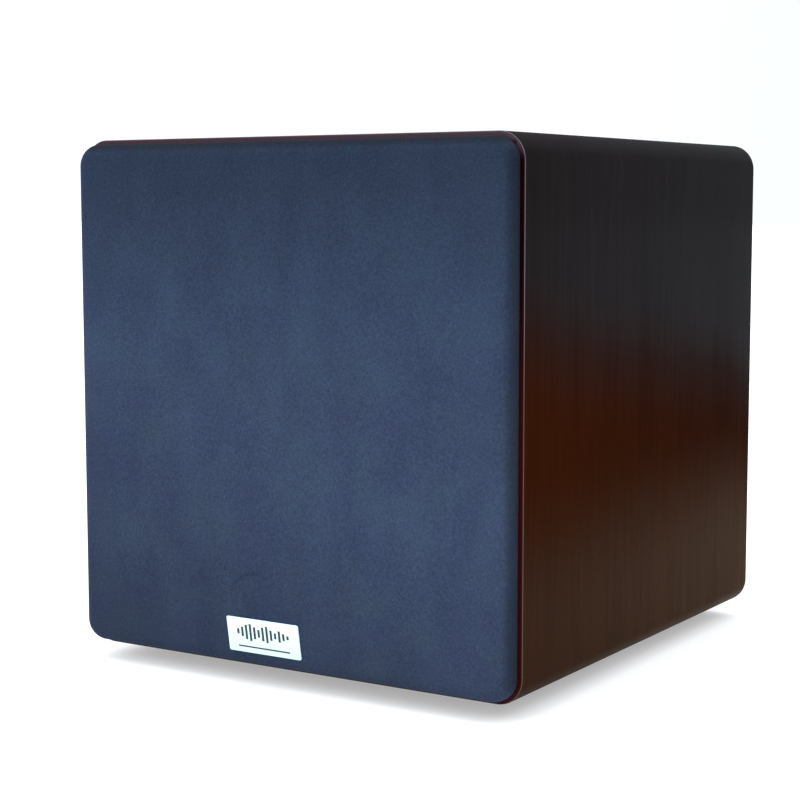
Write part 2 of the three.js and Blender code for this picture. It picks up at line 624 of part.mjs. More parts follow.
// It rests at the 0 degree end of its slot.
function phaseSlider() {
  const x = PHASE.x - PHASE.travel / 2;
  const half_h = PHASE.slot_h / 2 - GAP;
  return join(
    slab(x, KNOB_ROW, 2, half_h, PLATE_Y - 5.5, PLATE_OUT + 4),
    slab(x, KNOB_ROW, 1.4, half_h - 0.3, PLATE_OUT + 3.5, PLATE_OUT + 4.6),
  );
}

// A small domed lamp with the collar that stops it falling out of its hole.
const statusLed = () =>
  turned([
    [0, PLATE_Y - 6], [LED.radius + 0.9, PLATE_Y - 6], [LED.radius + 0.9, PLATE_Y - GAP],
    [LED.radius, PLATE_Y - GAP], [LED.radius, PLATE_OUT + 0.8],
    [LED.radius * 0.7, PLATE_OUT + 2], [0, PLATE_OUT + 2.6],
  ], SMALL, LED.x, KNOB_ROW);

// Two coaxial sockets moulded in one block: bored barrels that a phono plug pushes over and into.
function rcaBlock() {
  const out = ON_PLATE + RCA.long;
  const barrels = rcaPlaces.map((x) => rod(RCA.barrel, PLATE_Y - 8, out, SMALL, x, RCA.z));
  const bores = rcaPlaces.map((x) => rod(RCA.pin, out - 8, out + 1, 8, x, RCA.z));
  return cut(
    join(
      block([RCA.x - 19, PLATE_Y - 12, RCA.z - 7], [RCA.x + 19, PLATE_Y - GAP, RCA.z + 7]),
      ...barrels,
    ),
    ...bores,
  );
}

function clipBlock() {
  const half_w = CLIPS.width / 2;
  const half_h = CLIPS.height / 2;
  const out = ON_PLATE + 8;
  const slot = CLIPS.lever_w / 2 + GAP;
  const lever_floor = CLIPS.z - 3;
  const lever_roof = CLIPS.z + half_h - 5;
  return cut(
    join(
      slab(CLIPS.x, CLIPS.z, half_w, half_h, ON_PLATE, ON_PLATE + 3),
      slab(CLIPS.x, CLIPS.z + 0.5, half_w - 4, half_h - 3.5, ON_PLATE, out),
      slab(CLIPS.x, CLIPS.z, half_w - 4, half_h - 4, PLATE_Y - 10, ON_PLATE + 1),
    ),
    ...clipPlaces.map((x) =>
      block([x - slot, LEVER.tail_y - 2.2, lever_floor], [x + slot, out + 1, lever_roof])),
    ...clipPlaces.map((x) => rod(CLIPS.hole, out - 12, out + 1, 8, x, CLIPS.z - 7.5)),
  );
}

// A sprung lever, pressed down to open the terminal under it.
function clipLever(x) {
  const { pivot_z: z, thick, tip_y, tail_y } = LEVER;
  const h = thick / 2;
  const section = polygon([
    [tail_y, z - h], [tip_y - 1, z - h], [tip_y, z - h + 1], [tip_y, z + h - 0.6], [tip_y - 1, z + h],
    [tip_y - 5, z + h - 0.8], [tail_y + 5, z + h - 0.8], [tail_y, z + h - 1.6],
  ]);
  return sidePlate(section, x - CLIPS.lever_w / 2, x + CLIPS.lever_w / 2);
}

// One moulding for the mains socket, the fuse drawer's slot and the rocker's well.
function mainsModule() {
  const out = ON_PLATE + MAINS.lip;
  const { x, z, half_w, half_h, depth: deep, chamfer } = INLET;
  const mouth = polygon([
    [x - half_w, z - half_h], [x + half_w, z - half_h], [x + half_w, z + half_h - chamfer],
    [x + half_w - chamfer, z + half_h], [x - half_w + chamfer, z + half_h], [x - half_w, z + half_h - chamfer],
  ]);
  const body_w = MAINS.half_w - MAINS.rim;
  const body_h = MAINS.half_h - MAINS.rim;
  const shell = cut(
    join(
      plate(roundedRect(MAINS.half_w, MAINS.half_h, 2, MAINS.x, MAINS.z), ON_PLATE, out, 2),
      slab(MAINS.x, MAINS.z, body_w, body_h, PLATE_Y - MAINS.body, ON_PLATE + 1),
    ),
    plate(mouth, out - deep, out + 1),
    slab(FUSE.x, FUSE.z, FUSE.half_w + GAP, FUSE.half_h + GAP, out - FUSE.depth - 1, out + 1),
    slab(ROCKER.x, MAINS.z, ROCKER.half_w + GAP, ROCKER.half_l + ROCKER.clear, out - ROCKER.well, out + 1),
  );
  const pins = [[-7, -2], [7, -2], [0, 4]].map(([dx, dz]) =>
    slab(x + dx, z + dz, 1, 2, out - deep - 1, out - 2.5));
  return join(shell, ...pins);
}

// An open-topped tray that pulls straight out, with the fuse lying across it.
function fuseDrawer() {
  const out = ON_PLATE + MAINS.lip;
  const { x, z, half_w, half_h, depth: long, side, floor } = FUSE;
  return cut(
    slab(x, z, half_w, half_h, out - long, out + 1),
    block(
      [x - half_w + side, out - long + 2, z - half_h + floor],
      [x + half_w - side, out - 6, z + half_h + 1],
    ),
    slab(x, z - half_h, 4, 1, out - 1, out + 2),
  );
}

function fuse() {
  const { x, z, half_w, half_h, depth: long, side, floor, radius } = FUSE;
  const half = half_w - side - GAP;
  const lying = rod(radius, -half, half, TINY).rotate([0, 0, 90]);
  return lying.translate([x, ON_PLATE + MAINS.lip - long + 2 + 5, z - half_h + floor + GAP + radius]);
}

// A see-saw with a dished face, about an axis along X, resting on its "off" side.
function powerRocker() {
  const l = ROCKER.half_l;
  const upper = [[6, 0], [8.6, l - 1], [8.2, l], [2, l], [-1, l - 1.5], [-3, 3]];
  const lower = upper.slice(1).map(([y, z]) => [y, -z]);
  return sidePlate(polygon([...upper, ...lower.reverse()]), -ROCKER.half_w, ROCKER.half_w);
}

// Laminated core with two windows, and the winding on its middle leg.
const CORE_Y = [PLATE_Y - GAP - TRANSFORMER.deep, PLATE_Y - GAP];

function transformerCore() {
  const { x, z, stack, tall, leg, yoke: side } = TRANSFORMER;
  const half_hole = (tall - leg - 2 * side) / 4;
  const holes = [-1, 1].map((s) =>
    slab(x, z + s * (leg / 2 + half_hole), stack, half_hole, CORE_Y[0] + side, CORE_Y[1] - side));
  return cut(slab(x, z, stack / 2, tall / 2, ...CORE_Y), ...holes);
}

function transformerWinding() {
  const { x, z, stack, tall, leg, yoke: side, coil } = TRANSFORMER;
  const [y0, y1] = [CORE_Y[0] + side + GAP, CORE_Y[1] - side - GAP];
  return cut(
    slab(x, z, coil / 2, tall / 2 - side - GAP, y0, y1),
    slab(x, z, stack / 2 + GAP, leg / 2 + GAP, y0 - 1, y1 + 1),
  );
}

// The circuit board with its stand-offs, reservoir capacitors and output stage soldered on.
function amplifierBoard() {
  const y1 = PCB.y + PCB.thick;
  const posts = [[-1, PCB.z0 + 8], [1, PCB.z0 + 8], [-1, PCB.z1 - 8], [1, PCB.z1 - 8]].map(([s, z]) =>
    rod(PCB.post, y1 - 1, PLATE_Y - GAP, 10, s * (PCB.half_w - 6), z));
  const caps = [-50, -20].map((x) => rod(13, PCB.y - 36, PCB.y + 0.5, SMALL, x, PCB.z0 + 22));
  const bracket = block([15, PCB.y - 24, PCB.z0 + 8], [70, PCB.y - 20, PCB.z0 + 50]);
  const web = block([15, PCB.y - 24, PCB.z0 + 8], [19, PCB.y + 0.5, PCB.z0 + 50]);
  return join(block([-PCB.half_w, PCB.y, PCB.z0], [PCB.half_w, y1, PCB.z1]), ...posts, ...caps, bracket, web);
}

// The pair runs from the board, through the brace's upper window, to the driver's tags.
function speakerWire(side) {
  const x_tag = STRIP.x1 - 4.5;
  const s_tag = STRIP.depth + STRIP.thick + STRIP.tall + GAP;
  const z_tag = MID_Z + side * STRIP.tag;
  return tube([
    [46 + side * 5, PCB.y - GAP, 330], [46 + side * 5, PCB.y - 14, 330], [50 + side * 4, 140, 318],
    [60 + side * 3, 90, 290], [74 + side * 3, 40, 264 + side * 4], [84 + side * 2, 8, 252 + side * 4],
    [92 + side, -40, 240 + side * 5], [98, -80, 226 + side * 7], [x_tag + 3, depth(s_tag + 18), z_tag],
    [x_tag, depth(s_tag), z_tag],
  ], WIRE, 24);
}

// ---------------------------------------------------------------- assembly
add("veneer_wrap", veneerWrap(), MATERIAL.veneer);
const WALLS = { top: [true, 1], bottom: [true, -1], left: [false, -1], right: [false, 1] };
for (const [side, placed] of Object.entries(WALLS)) add(`${side}_panel`, wall(...placed), MATERIAL.mdf);
add("front_baffle", frontBaffle(), MATERIAL.black_board);
add("back_panel", backPanel(), MATERIAL.black_board);
add("window_brace", windowBrace(), MATERIAL.mdf);
add("wadding_pad", waddingPad(), MATERIAL.wadding);
add("port_tube", portTube(), MATERIAL.plastic);
for (const [end, y] of [["front", -FOOT.y], ["rear", FOOT.y]]) {
  add(`foot_${end}_left`, foot(-FOOT.x, y), MATERIAL.rubber);
  add(`foot_${end}_right`, foot(FOOT.x, y), MATERIAL.rubber);
}

add("driver_basket", basket(), MATERIAL.steel_black);
add("driver_gasket", gasket(), MATERIAL.foam);
add("surround", surround(), MATERIAL.rubber);
add("spider", spider(), MATERIAL.spider);
add("top_plate", topPlate(), MATERIAL.zinc);
add("magnet", magnetRing(), MATERIAL.ferrite);
add("yoke", yoke(), MATERIAL.zinc);
add("terminal_strip", terminalStrip(), MATERIAL.plastic);
add("tinsel_lead_upper", tinselLead(1), MATERIAL.tinsel);
add("tinsel_lead_lower", tinselLead(-1), MATERIAL.tinsel);
add("cone", cone(), MATERIAL.paper);
add("dust_cap", dustCap(), MATERIAL.paper);
add("voice_coil_former", coilFormer(), MATERIAL.kapton);
add("voice_coil_winding", coilWinding(), MATERIAL.copper);

add("grille_frame", grilleFrame(), MATERIAL.frame);
add("grille_cloth", grilleCloth(), MATERIAL.cloth);
add("badge_plate", badgePlate(), MATERIAL.badge);
const cup_names = ["lower_left", "lower_right", "upper_left", "upper_right"];
cornerPlaces(PEG.x, PEG.z).forEach(([x, z], i) => {
  add(`grille_cup_${cup_names[i]}`, grilleCup(x, z), MATERIAL.rubber);
});

add("amp_plate", ampPlate(), MATERIAL.amp);
add("amp_gasket", ampGasket(), MATERIAL.foam);
add("heatsink", heatsink(), MATERIAL.amp);
add("amplifier_board", amplifierBoard(), MATERIAL.board);
add("transformer_core", transformerCore(), MATERIAL.core);
add("transformer_winding", transformerWinding(), MATERIAL.winding);
add("volume_pot", potentiometer(VOLUME_X), MATERIAL.zinc);
add("crossover_pot", potentiometer(CROSSOVER_X), MATERIAL.zinc);
add("volume_knob", knob(VOLUME_X), MATERIAL.plastic);
add("crossover_knob", knob(CROSSOVER_X), MATERIAL.plastic);
add("phase_switch_body", phaseSwitchBody(), MATERIAL.zinc);
add("phase_slider", phaseSlider(), MATERIAL.plastic);
add("status_led", statusLed(), MATERIAL.led);
add("rca_block", rcaBlock(), MATERIAL.plastic);
add("clip_block", clipBlock(), MATERIAL.plastic);
clipPlaces.forEach((x, i) => {
  add(`clip_lever_${i + 1}`, clipLever(x), i % 2 ? MATERIAL.plastic : MATERIAL.red);
});
add("mains_module", mainsModule(), MATERIAL.plastic);
add("fuse_drawer", fuseDrawer(), MATERIAL.plastic);
add("fuse", fuse(), MATERIAL.glass);
add("speaker_wire_red", speakerWire(1), MATERIAL.red);
add("speaker_wire_black", speakerWire(-1), MATERIAL.plastic);

const rocker_seat = new THREE.Group();
rocker_seat.position.set(ROCKER.x, ROCKER.axis_y, MAINS.z);
rocker_seat.rotation.x = THREE.MathUtils.degToRad(-ROCKER.tilt);
part.add(rocker_seat);
add("power_rocker", powerRocker(), MATERIAL.plastic, rocker_seat);

export default part;
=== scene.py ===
"""The looks of an active 12-inch subwoofer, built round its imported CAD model.

Metres, +Z up, the grille facing -Y.
Fine pieces stand in for the CAD's faceted ones and ride on its bodies.
"""
import json
import math

import bmesh
import bpy
from mathutils import Euler, Matrix, Vector
from mathutils.geometry import tessellate_polygon


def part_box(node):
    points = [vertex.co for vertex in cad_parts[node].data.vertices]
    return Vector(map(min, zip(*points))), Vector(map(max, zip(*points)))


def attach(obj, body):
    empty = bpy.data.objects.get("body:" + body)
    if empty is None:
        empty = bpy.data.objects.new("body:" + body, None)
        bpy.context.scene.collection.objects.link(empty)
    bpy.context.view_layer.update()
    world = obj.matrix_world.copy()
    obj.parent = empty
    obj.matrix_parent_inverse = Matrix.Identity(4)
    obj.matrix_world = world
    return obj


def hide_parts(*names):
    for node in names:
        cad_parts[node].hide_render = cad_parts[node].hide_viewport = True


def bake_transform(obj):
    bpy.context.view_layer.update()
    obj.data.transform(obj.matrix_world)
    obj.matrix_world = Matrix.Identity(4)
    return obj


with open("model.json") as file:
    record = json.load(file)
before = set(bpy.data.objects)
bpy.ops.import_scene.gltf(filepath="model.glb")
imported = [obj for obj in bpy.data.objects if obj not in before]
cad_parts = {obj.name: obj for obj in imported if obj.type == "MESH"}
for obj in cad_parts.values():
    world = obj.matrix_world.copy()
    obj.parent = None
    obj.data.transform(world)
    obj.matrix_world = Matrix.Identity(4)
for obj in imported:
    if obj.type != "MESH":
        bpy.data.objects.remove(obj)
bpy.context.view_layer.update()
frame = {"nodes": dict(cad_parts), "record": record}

# ---- sizes, from the frame
MM = 0.001
SHELL_LO, SHELL_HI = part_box("veneer_wrap")
CLOTH_LO, CLOTH_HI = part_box("grille_cloth")
BADGE_LO, BADGE_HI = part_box("badge_plate")
BASKET_LO, BASKET_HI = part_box("driver_basket")
PLATE_LO, PLATE_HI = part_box("amp_plate")
PORT_LO, PORT_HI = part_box("port_tube")

FRONT = SHELL_LO.y  # plane of the cabinet's front rim
REAR = SHELL_HI.y
HEIGHT = SHELL_HI.z - SHELL_LO.z
HALF_W = SHELL_HI.x
HALF_H = HEIGHT / 2
MID_Z = (SHELL_LO.z + SHELL_HI.z) / 2
CORNER = 21 * MM  # radius of the long edges
WALL = HALF_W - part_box("right_panel")[0].x
EDGE_ROUND = 12 * MM  # radius of the grille's front edges
PLATE_OUT = PLATE_HI.y  # outer face of the amplifier plate

ROUND = 96  # facets of a large turned piece
FINE = 48  # facets of a small one
FINEST = 144  # facets where the most show
SMOOTH = 32  # degrees up to which neighbouring faces are shaded as one


# ---- meshes
def make(name, verts, faces, slot, body, material=None, sharp=SMOOTH):
    """A piece from points and faces that rides on a body, shaded smooth up to the sharp angle in degrees.
    It has its slot's finish unless another material is given."""
    mesh = bpy.data.meshes.new(name)
    mesh.from_pydata([tuple(v) for v in verts], [], faces)
    work = bmesh.new()
    work.from_mesh(mesh)
    bmesh.ops.recalc_face_normals(work, faces=work.faces)
    work.to_mesh(mesh)
    work.free()
    mesh.polygons.foreach_set("use_smooth", [True] * len(mesh.polygons))
    mesh.set_sharp_from_angle(angle=math.radians(sharp))
    mesh.materials.append(material or MATERIALS[slot])
    piece = bpy.data.objects.new(name, mesh)
    bpy.context.scene.collection.objects.link(piece)
    if body:
        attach(piece, body)
    return piece


def skin(loops, closed=False):
    """Points and faces of quads from loop to loop: a ring of loops if closed, or else capped at the ends.
    A loop of one point is a pole."""
    verts = [v for loop in loops for v in loop]
    starts = [sum(len(loop) for loop in loops[:i]) for i in range(len(loops))]
    faces = []
    pairs = list(zip(range(len(loops)), range(1, len(loops))))
    if closed:
        pairs.append((len(loops) - 1, 0))
    for a, b in pairs:
        count = max(len(loops[a]), len(loops[b]))
        for i in range(count):
            j = (i + 1) % count
            corners = [starts[a] + i, starts[a] + j, starts[b] + j, starts[b] + i]
            if len(loops[a]) == 1:
                corners = [starts[a], starts[b] + j, starts[b] + i]
            if len(loops[b]) == 1:
                corners = [starts[a] + i, starts[a] + j, starts[b]]
            faces.append(corners)
    if not closed:
        for k in (0, len(loops) - 1):
            if len(loops[k]) > 1:
                faces.append([starts[k] + i for i in range(len(loops[k]))])
    return verts, faces


def turned_parts(profile, x, z, facets, shape=None):
    """Points and faces of a solid turned about the line through (x, z) along Y.
    The profile is (radius, y) pairs, either from the axis to the axis or round a ring's section.
    shape, if given, says how far out a point is from its radius, its place in the profile and its turn."""
    loops = []
    for k, (r, y) in enumerate(profile):
        if r == 0:
            loops.append([Vector((x, y, z))])
            continue
        loop = []
        for i in range(facets):
            turn = 2 * math.pi * i / facets
            out = shape(r, k, turn) if shape else r
            loop.append(Vector((x + out * math.cos(turn), y, z + out * math.sin(turn))))
        loops.append(loop)
    return skin(loops, closed=profile[0][0] > 0)


def turned(name, profile, slot, body, x=0.0, z=MID_Z, facets=ROUND, shape=None, material=None,
           sharp=SMOOTH):
    return make(name, *turned_parts(profile, x, z, facets, shape), slot, body, material, sharp)


def arc(centre_r, centre_y, radius, start, end, steps):
    """(radius, y) points round part of a circle, from start to end in degrees; 0 is outwards, 90 is +Y."""
    points = []
    for i in range(steps + 1):
        turn = math.radians(start + (end - start) * i / steps)
        points.append((centre_r + radius * math.cos(turn), centre_y + radius * math.sin(turn)))
    return points


def circle(r, y, x=0.0, z=MID_Z, facets=ROUND):
    """A circle about Y as points."""
    turns = [2 * math.pi * i / facets for i in range(facets)]
    return [Vector((x + r * math.cos(t), y, z + r * math.sin(t))) for t in turns]


def eased(share):
    """A share held between 0 and 1, and eased in and out."""
    share = min(max(share, 0), 1)
    return share * share * (3 - 2 * share)


def merged(parts):
    """Several (points, faces) as one."""
    verts, faces = [], []
    for more_verts, more_faces in parts:
        start = len(verts)
        verts += more_verts
        faces += [[start + i for i in face] for face in more_faces]
    return verts, faces


def rounded_loop(half_w, half_h, corner, y, x=0.0, z=MID_Z, corner_steps=10, side_steps=14):
    """A rounded rectangle as points in the plane at y, evenly spread along sides and corners."""
    corner = max(corner, 0.2 * MM)
    bends = []
    for sx, sz, start in ((1, 1, 0), (-1, 1, 90), (-1, -1, 180), (1, -1, 270)):
        cx, cz = x + sx * (half_w - corner), z + sz * (half_h - corner)
        round_corner = arc(cx, cz, corner, start, start + 90, corner_steps)
        bends.append([Vector((px, y, pz)) for px, pz in round_corner])
    loop = []
    for bend, following in zip(bends, bends[1:] + bends[:1]):
        side = [bend[-1].lerp(following[0], i / side_steps) for i in range(1, side_steps)]
        loop += bend + side
    return loop


# Faces of a box whose eight points run through z first, then y, then x.
BOX_FACES = [[0, 1, 3, 2], [4, 6, 7, 5], [0, 4, 5, 1], [2, 3, 7, 6], [0, 2, 6, 4], [1, 5, 7, 3]]


def box_parts(lo, hi):
    """Points and faces of a box between two corners."""
    points = [Vector((x, y, z)) for x in (lo[0], hi[0]) for y in (lo[1], hi[1]) for z in (lo[2], hi[2])]
    return points, BOX_FACES


def socket_head(radius, height):
    """Points and faces of a domed screw head about Y, rising from y 0, with a six-sided socket in it."""
    socket, floor = 0.42 * radius, 0.35 * height
    outline = [
        (0, floor), (socket, floor), (socket, height), (0.72 * radius, height),
        (0.9 * radius, 0.9 * height), (radius, 0.62 * height), (radius, 0), (0, 0)]
    sixth = math.pi / 3

    def six_sided(r, k, turn):
        return r * math.cos(sixth / 2) / math.cos(turn % sixth - sixth / 2) if k in (1, 2) else r

    return turned_parts(outline, 0, 0, 24, six_sided)


def screws(name, places, facing, radius, height, slot, body):
    """Screws' heads at several places, all facing the same way along Y, each turned as it was left."""
    verts, faces = socket_head(radius, height)
    first_turn, further = 0.7, 1.9  # radians
    parts = []
    for i, place in enumerate(places):
        turn = Matrix.Rotation(first_turn + further * i, 3, "Y")
        parts.append(([place + (turn @ v) * Vector((1, facing, 1)) for v in verts], faces))
    return make(name, *merged(parts), slot, body)


def soften(piece, width):
    """Rounds a piece's sharp edges."""
    bevel = piece.modifiers.new("soften", "BEVEL")
    bevel.width = width
    bevel.segments = 2
    bevel.limit_method = "ANGLE"
    bevel.angle_limit = math.radians(40)
    bevel.harden_normals = True


# ---- materials
class Nodes:
    """Builds one material's node tree round its Principled shader."""

    def __init__(self, name):
        self.material = bpy.data.materials.new(name)
        self.material.use_nodes = True
        self.tree = self.material.node_tree
        self.shader = self.tree.nodes["Principled BSDF"]
        self.place = None

    def add(self, kind, inputs=None, **settings):
        node = self.tree.nodes.new(kind)
        for key, value in settings.items():
            setattr(node, key, value)
        for key, value in (inputs or {}).items():
            self.feed(node.inputs[key], value)
        return node

    def feed(self, socket, value):
        if isinstance(value, bpy.types.NodeSocket):
            self.tree.links.new(value, socket)
        else:
            socket.default_value = value

    def set(self, **values):
        for key, value in values.items():
            self.feed(self.shader.inputs[key.replace("_", " ")], value)

    def position(self):
        if self.place is None:
            self.place = self.add("ShaderNodeTexCoord").outputs["Object"]
        return self.place

    def scaled(self, scale):
        return self.add(
            "ShaderNodeMapping", {"Vector": self.position(), "Scale": scale}).outputs["Vector"]

    def grain(self, scale, detail=2.0, vector=None, rough=0.5):
        """A noise from 0 to 1, about 0.5 on average."""
        place = vector or self.position()
        inputs = {"Vector": place, "Scale": scale, "Detail": detail, "Roughness": rough}
        return self.add("ShaderNodeTexNoise", inputs).outputs["Fac"]

    def math(self, operation, a, b=0.0):
        return self.add("ShaderNodeMath", {0: a, 1: b}, operation=operation).outputs[0]

    def times(self, *factors):
        result = factors[0]
        for factor in factors[1:]:
            result = self.math("MULTIPLY", result, factor)
        return result

    def span(self, value, low, high, to_low=0.0, to_high=1.0, smooth=False):
        inputs = {"Value": value, "From Min": low, "From Max": high, "To Min": to_low, "To Max": to_high}
        kind = "SMOOTHSTEP" if smooth else "LINEAR"
        return self.add("ShaderNodeMapRange", inputs, interpolation_type=kind).outputs["Result"]

    def grey(self, level):
        return self.add("ShaderNodeCombineXYZ", {0: level, 1: level, 2: level}).outputs[0]

    def mix(self, share, a, b, blend="MIX"):
        node = self.add("ShaderNodeMix", data_type="RGBA", blend_type=blend)
        self.feed(node.inputs[0], share)
        self.feed(node.inputs[6], a)
        self.feed(node.inputs[7], b)
        return node.outputs[2]

    def axis(self, name, vector=None):
        split = self.add("ShaderNodeSeparateXYZ", {"Vector": vector or self.position()})
        return split.outputs[name]

    def bump(self, height, strength, distance):
        node = self.add("ShaderNodeBump", {"Height": height, "Strength": strength, "Distance": distance})
        self.feed(self.shader.inputs["Normal"], node.outputs["Normal"])


def rgb(r, g, b):
    return (r, g, b, 1.0)


def scaled_colour(colour, share):
    return tuple(c * share for c in colour[:3]) + (1.0,)


def plain(name, colour, roughness, metallic=0.0, specular=0.5, mottle=0.12, size=60.0, **more):
    """A plain finish with a faint mottle, so that it doesn't look like a flat colour."""
    n = Nodes(name)
    spread = n.grain(size, 3.0)
    tone = n.mix(spread, scaled_colour(colour, 1 - mottle), scaled_colour(colour, 1 + mottle))
    rough = n.span(n.grain(size * 1.7, 2.0), 0.3, 0.7, roughness * 0.92, min(1.0, roughness * 1.08))
    n.set(Base_Color=tone, Roughness=rough, Metallic=metallic, Specular_IOR_Level=specular, **more)
    return n.material


def lacquered_veneer():
    """Dark red mahogany under a thin satin lacquer, its colour carrying painted reflections: nearly black
    at the top for a dark room and brown below for the pale floor.
    The veneer runs up the sides and over the top in one sheet, so its grain does too."""
    n = Nodes("veneer")
    up = n.scaled((1.0, 1.0, 0.05))
    across = n.scaled((0.05, 1.0, 1.0))
    facing = n.axis("Z", n.add("ShaderNodeNewGeometry").outputs["Normal"])
    flat = n.span(n.math("ABSOLUTE", facing), 0.55, 0.85, smooth=True)

    def streaks(scale, detail):
        both = n.add("ShaderNodeMix", data_type="FLOAT")
        n.feed(both.inputs[0], flat)
        n.feed(both.inputs[2], n.grain(scale, detail, up))
        n.feed(both.inputs[3], n.grain(scale, detail, across))
        return both.outputs[0]

    broad = streaks(26.0, 3.0)
    fine = streaks(240.0, 3.0)
    # The painted dark reflection's lower edge climbs towards the front, and both edges wander with the
    # grain.
    wander = n.span(broad, 0.0, 1.0, -0.020, 0.020)
    height = n.math("ADD", n.axis("Z"), wander)
    slanted = n.math("ADD", height, n.math("MULTIPLY", n.axis("Y"), 0.15))
    # Painted reflections in the base colour: brown below for the pale floor, nearly black above for a dark
    # room; the red band between is the wood's own tone.
    to_red = (MID_Z - 0.150, MID_Z - 0.030)
    to_black = (MID_Z - 0.030, MID_Z + 0.085)
    # Towards the rear the red darkens, a painted falloff of light, the black turns lighter and bluer, a
    # painted sheen, and the brown lightens.
    behind = n.span(n.axis("Y"), FRONT, REAR)
    brown = n.mix(behind, rgb(0.0245, 0.0105, 0.0050), rgb(0.0390, 0.0205, 0.0110))
    red = n.mix(behind, rgb(0.0240, 0.0048, 0.0008), rgb(0.0165, 0.0032, 0.0004))
    black = n.mix(behind, rgb(0.0098, 0.0078, 0.0084), rgb(0.0125, 0.0122, 0.0138))
    tone = n.mix(n.span(height, *to_red, smooth=True), brown, red)
    tone = n.mix(n.span(slanted, *to_black, smooth=True), tone, black)
    pores = n.span(n.grain(900.0, 2.0), 0.3, 0.7, 0.86, 1.14)
    lines = n.times(
        n.span(broad, 0.25, 0.75, 0.88, 1.12), n.span(fine, 0.35, 0.65, 0.90, 1.08), pores)
    tone = n.mix(1.0, tone, n.grey(lines), "MULTIPLY")
    # The front rim is redder below and near black above, the same painted reflection as the sides, and
    # lighter at the top where the grille doesn't cover it: a painted highlight from above.
    rim = n.span(n.axis("Y"), FRONT - 0.15 * MM, FRONT - 0.05 * MM, 1.0, 0.0)
    near_top = n.span(n.axis("Z"), SHELL_HI.z - CORNER, SHELL_HI.z - WALL / 3, smooth=True)

    def within(value, edge):
        """1 inside an edge of the grille and 0 outside it."""
        return n.span(value, edge - 5 * MM, edge - 2 * MM, 1.0, 0.0)

    covered = n.times(
        within(n.math("ABSOLUTE", n.axis("X")), CLOTH_HI.x), within(n.axis("Z"), CLOTH_HI.z))
    top_rim_light = n.times(near_top, n.math("SUBTRACT", 1.0, covered))
    upper_half = n.span(height, MID_Z, MID_Z + 0.12, smooth=True)
    dark_rim = n.mix(upper_half, rgb(0.0240, 0.0034, 0.0040), rgb(0.0070, 0.0010, 0.0014))
    tone = n.mix(rim, tone, n.mix(top_rim_light, dark_rim, rgb(0.050, 0.027, 0.038)))
    # Its rounded edge carries a hair-thin painted highlight, grey-lilac above and warm below, under a
    # glossier lacquer.
    off = n.math("ABSOLUTE", n.math("SUBTRACT", n.axis("Y"), FRONT + 0.35 * MM))
    highlight_line = n.span(off, 0.10 * MM, 0.38 * MM, 1.0, 0.0, smooth=True)
    painted_highlight = n.mix(upper_half, rgb(0.072, 0.031, 0.023), rgb(0.090, 0.074, 0.090))
    tone = n.mix(highlight_line, tone, painted_highlight)
    n.set(Base_Color=tone, Roughness=0.5, Specular_IOR_Level=0.0)
    # The lacquer is thinnest across the middle and thickest over the rounded edges.
    lower = n.span(height, MID_Z - 0.150, MID_Z - 0.050, 0.035, 0.012, smooth=True)
    upper = n.span(slanted, MID_Z, MID_Z + 0.070, 0.0, 0.035, smooth=True)
    top = n.span(n.axis("Z"), SHELL_HI.z - CORNER, SHELL_HI.z - CORNER / 2, 0.0, 0.058, smooth=True)
    under = n.span(n.axis("Z"), SHELL_LO.z + CORNER / 4, SHELL_LO.z + CORNER, 0.10, 0.0, smooth=True)
    lacquer = n.span(highlight_line, 0.0, 1.0, 0.0, 0.8)
    for layer in (lower, upper, top, under):
        lacquer = n.math("MAXIMUM", lacquer, layer)
    n.set(Coat_Weight=lacquer, Coat_IOR=1.5, Coat_Roughness=0.11)
    return n.material


def acoustic_cloth():
    """Slate-blue knitted cloth with a fine weave, a soft mottle and some lint, palest across the middle,
    with painted shade towards the top and on its top and right-hand edges.
    """
    n = Nodes("grille_cloth")
    blotch = n.grain(22.0, 3.0)
    smear = n.grain(34.0, 3.0, n.scaled((1.0, 1.0, 0.4)))
    speck = n.grain(520.0, 2.0)
    weave = n.grain(1500.0, 1.0, n.scaled((1.0, 1.0, 1.5)))
    lint = n.span(n.grain(300.0, 2.0, rough=0.7), 0.60, 0.78, 0.0, 0.30)
    height = n.axis("Z")
    tone = n.mix(n.span(blotch, 0.38, 0.62), rgb(0.0250, 0.0374, 0.0760), rgb(0.0260, 0.0408, 0.0735))
    # Bluer and darker towards the top: painted shade. It is also darker towards the bottom left.
    tone = n.mix(n.span(height, MID_Z, CLOTH_HI.z), tone, rgb(0.0238, 0.0412, 0.0810))
    upper = n.span(height, MID_Z - 0.08, CLOTH_HI.z + 0.02, 1.0, 0.75)
    topmost_shade = n.span(height, MID_Z + 0.05, CLOTH_HI.z + 0.01, 1.0, 0.62, smooth=True)
    from_low_left = n.math("ADD", height, n.math("MULTIPLY", n.axis("X"), 0.35))
    low_left = n.span(from_low_left, CLOTH_LO.z - 0.034, MID_Z - 0.045, 0.66, 1.0)
    # Its right-hand and top rolled edges are darkened with painted shade.
    right_edge_shade = n.span(n.axis("X"), CLOTH_HI.x - EDGE_ROUND / 2.5, CLOTH_HI.x, 1.0, 0.46)
    top_edge_shade = n.span(n.axis("Z"), CLOTH_HI.z - EDGE_ROUND / 1.7, CLOTH_HI.z, 1.0, 0.22)
    shade = n.times(upper, topmost_shade, low_left, right_edge_shade, top_edge_shade, crease_shade(n))
    marks = n.math("ADD", n.span(smear, 0.3, 0.7, -0.08, 0.08), n.span(speck, 0.3, 0.7, 0.81, 1.19))
    marks = n.math("ADD", marks, n.math("ADD", lint, n.span(blotch, 0.3, 0.7, -0.05, 0.05)))
    level = n.times(shade, n.math("ADD", marks, n.span(weave, 0.3, 0.7, -0.14, 0.14)))
    tone = n.mix(1.0, tone, n.grey(level), "MULTIPLY")
    n.set(Base_Color=tone, Roughness=0.92, Specular_IOR_Level=0.12)
    n.bump(weave, 0.25, 0.0003)
    return n.material


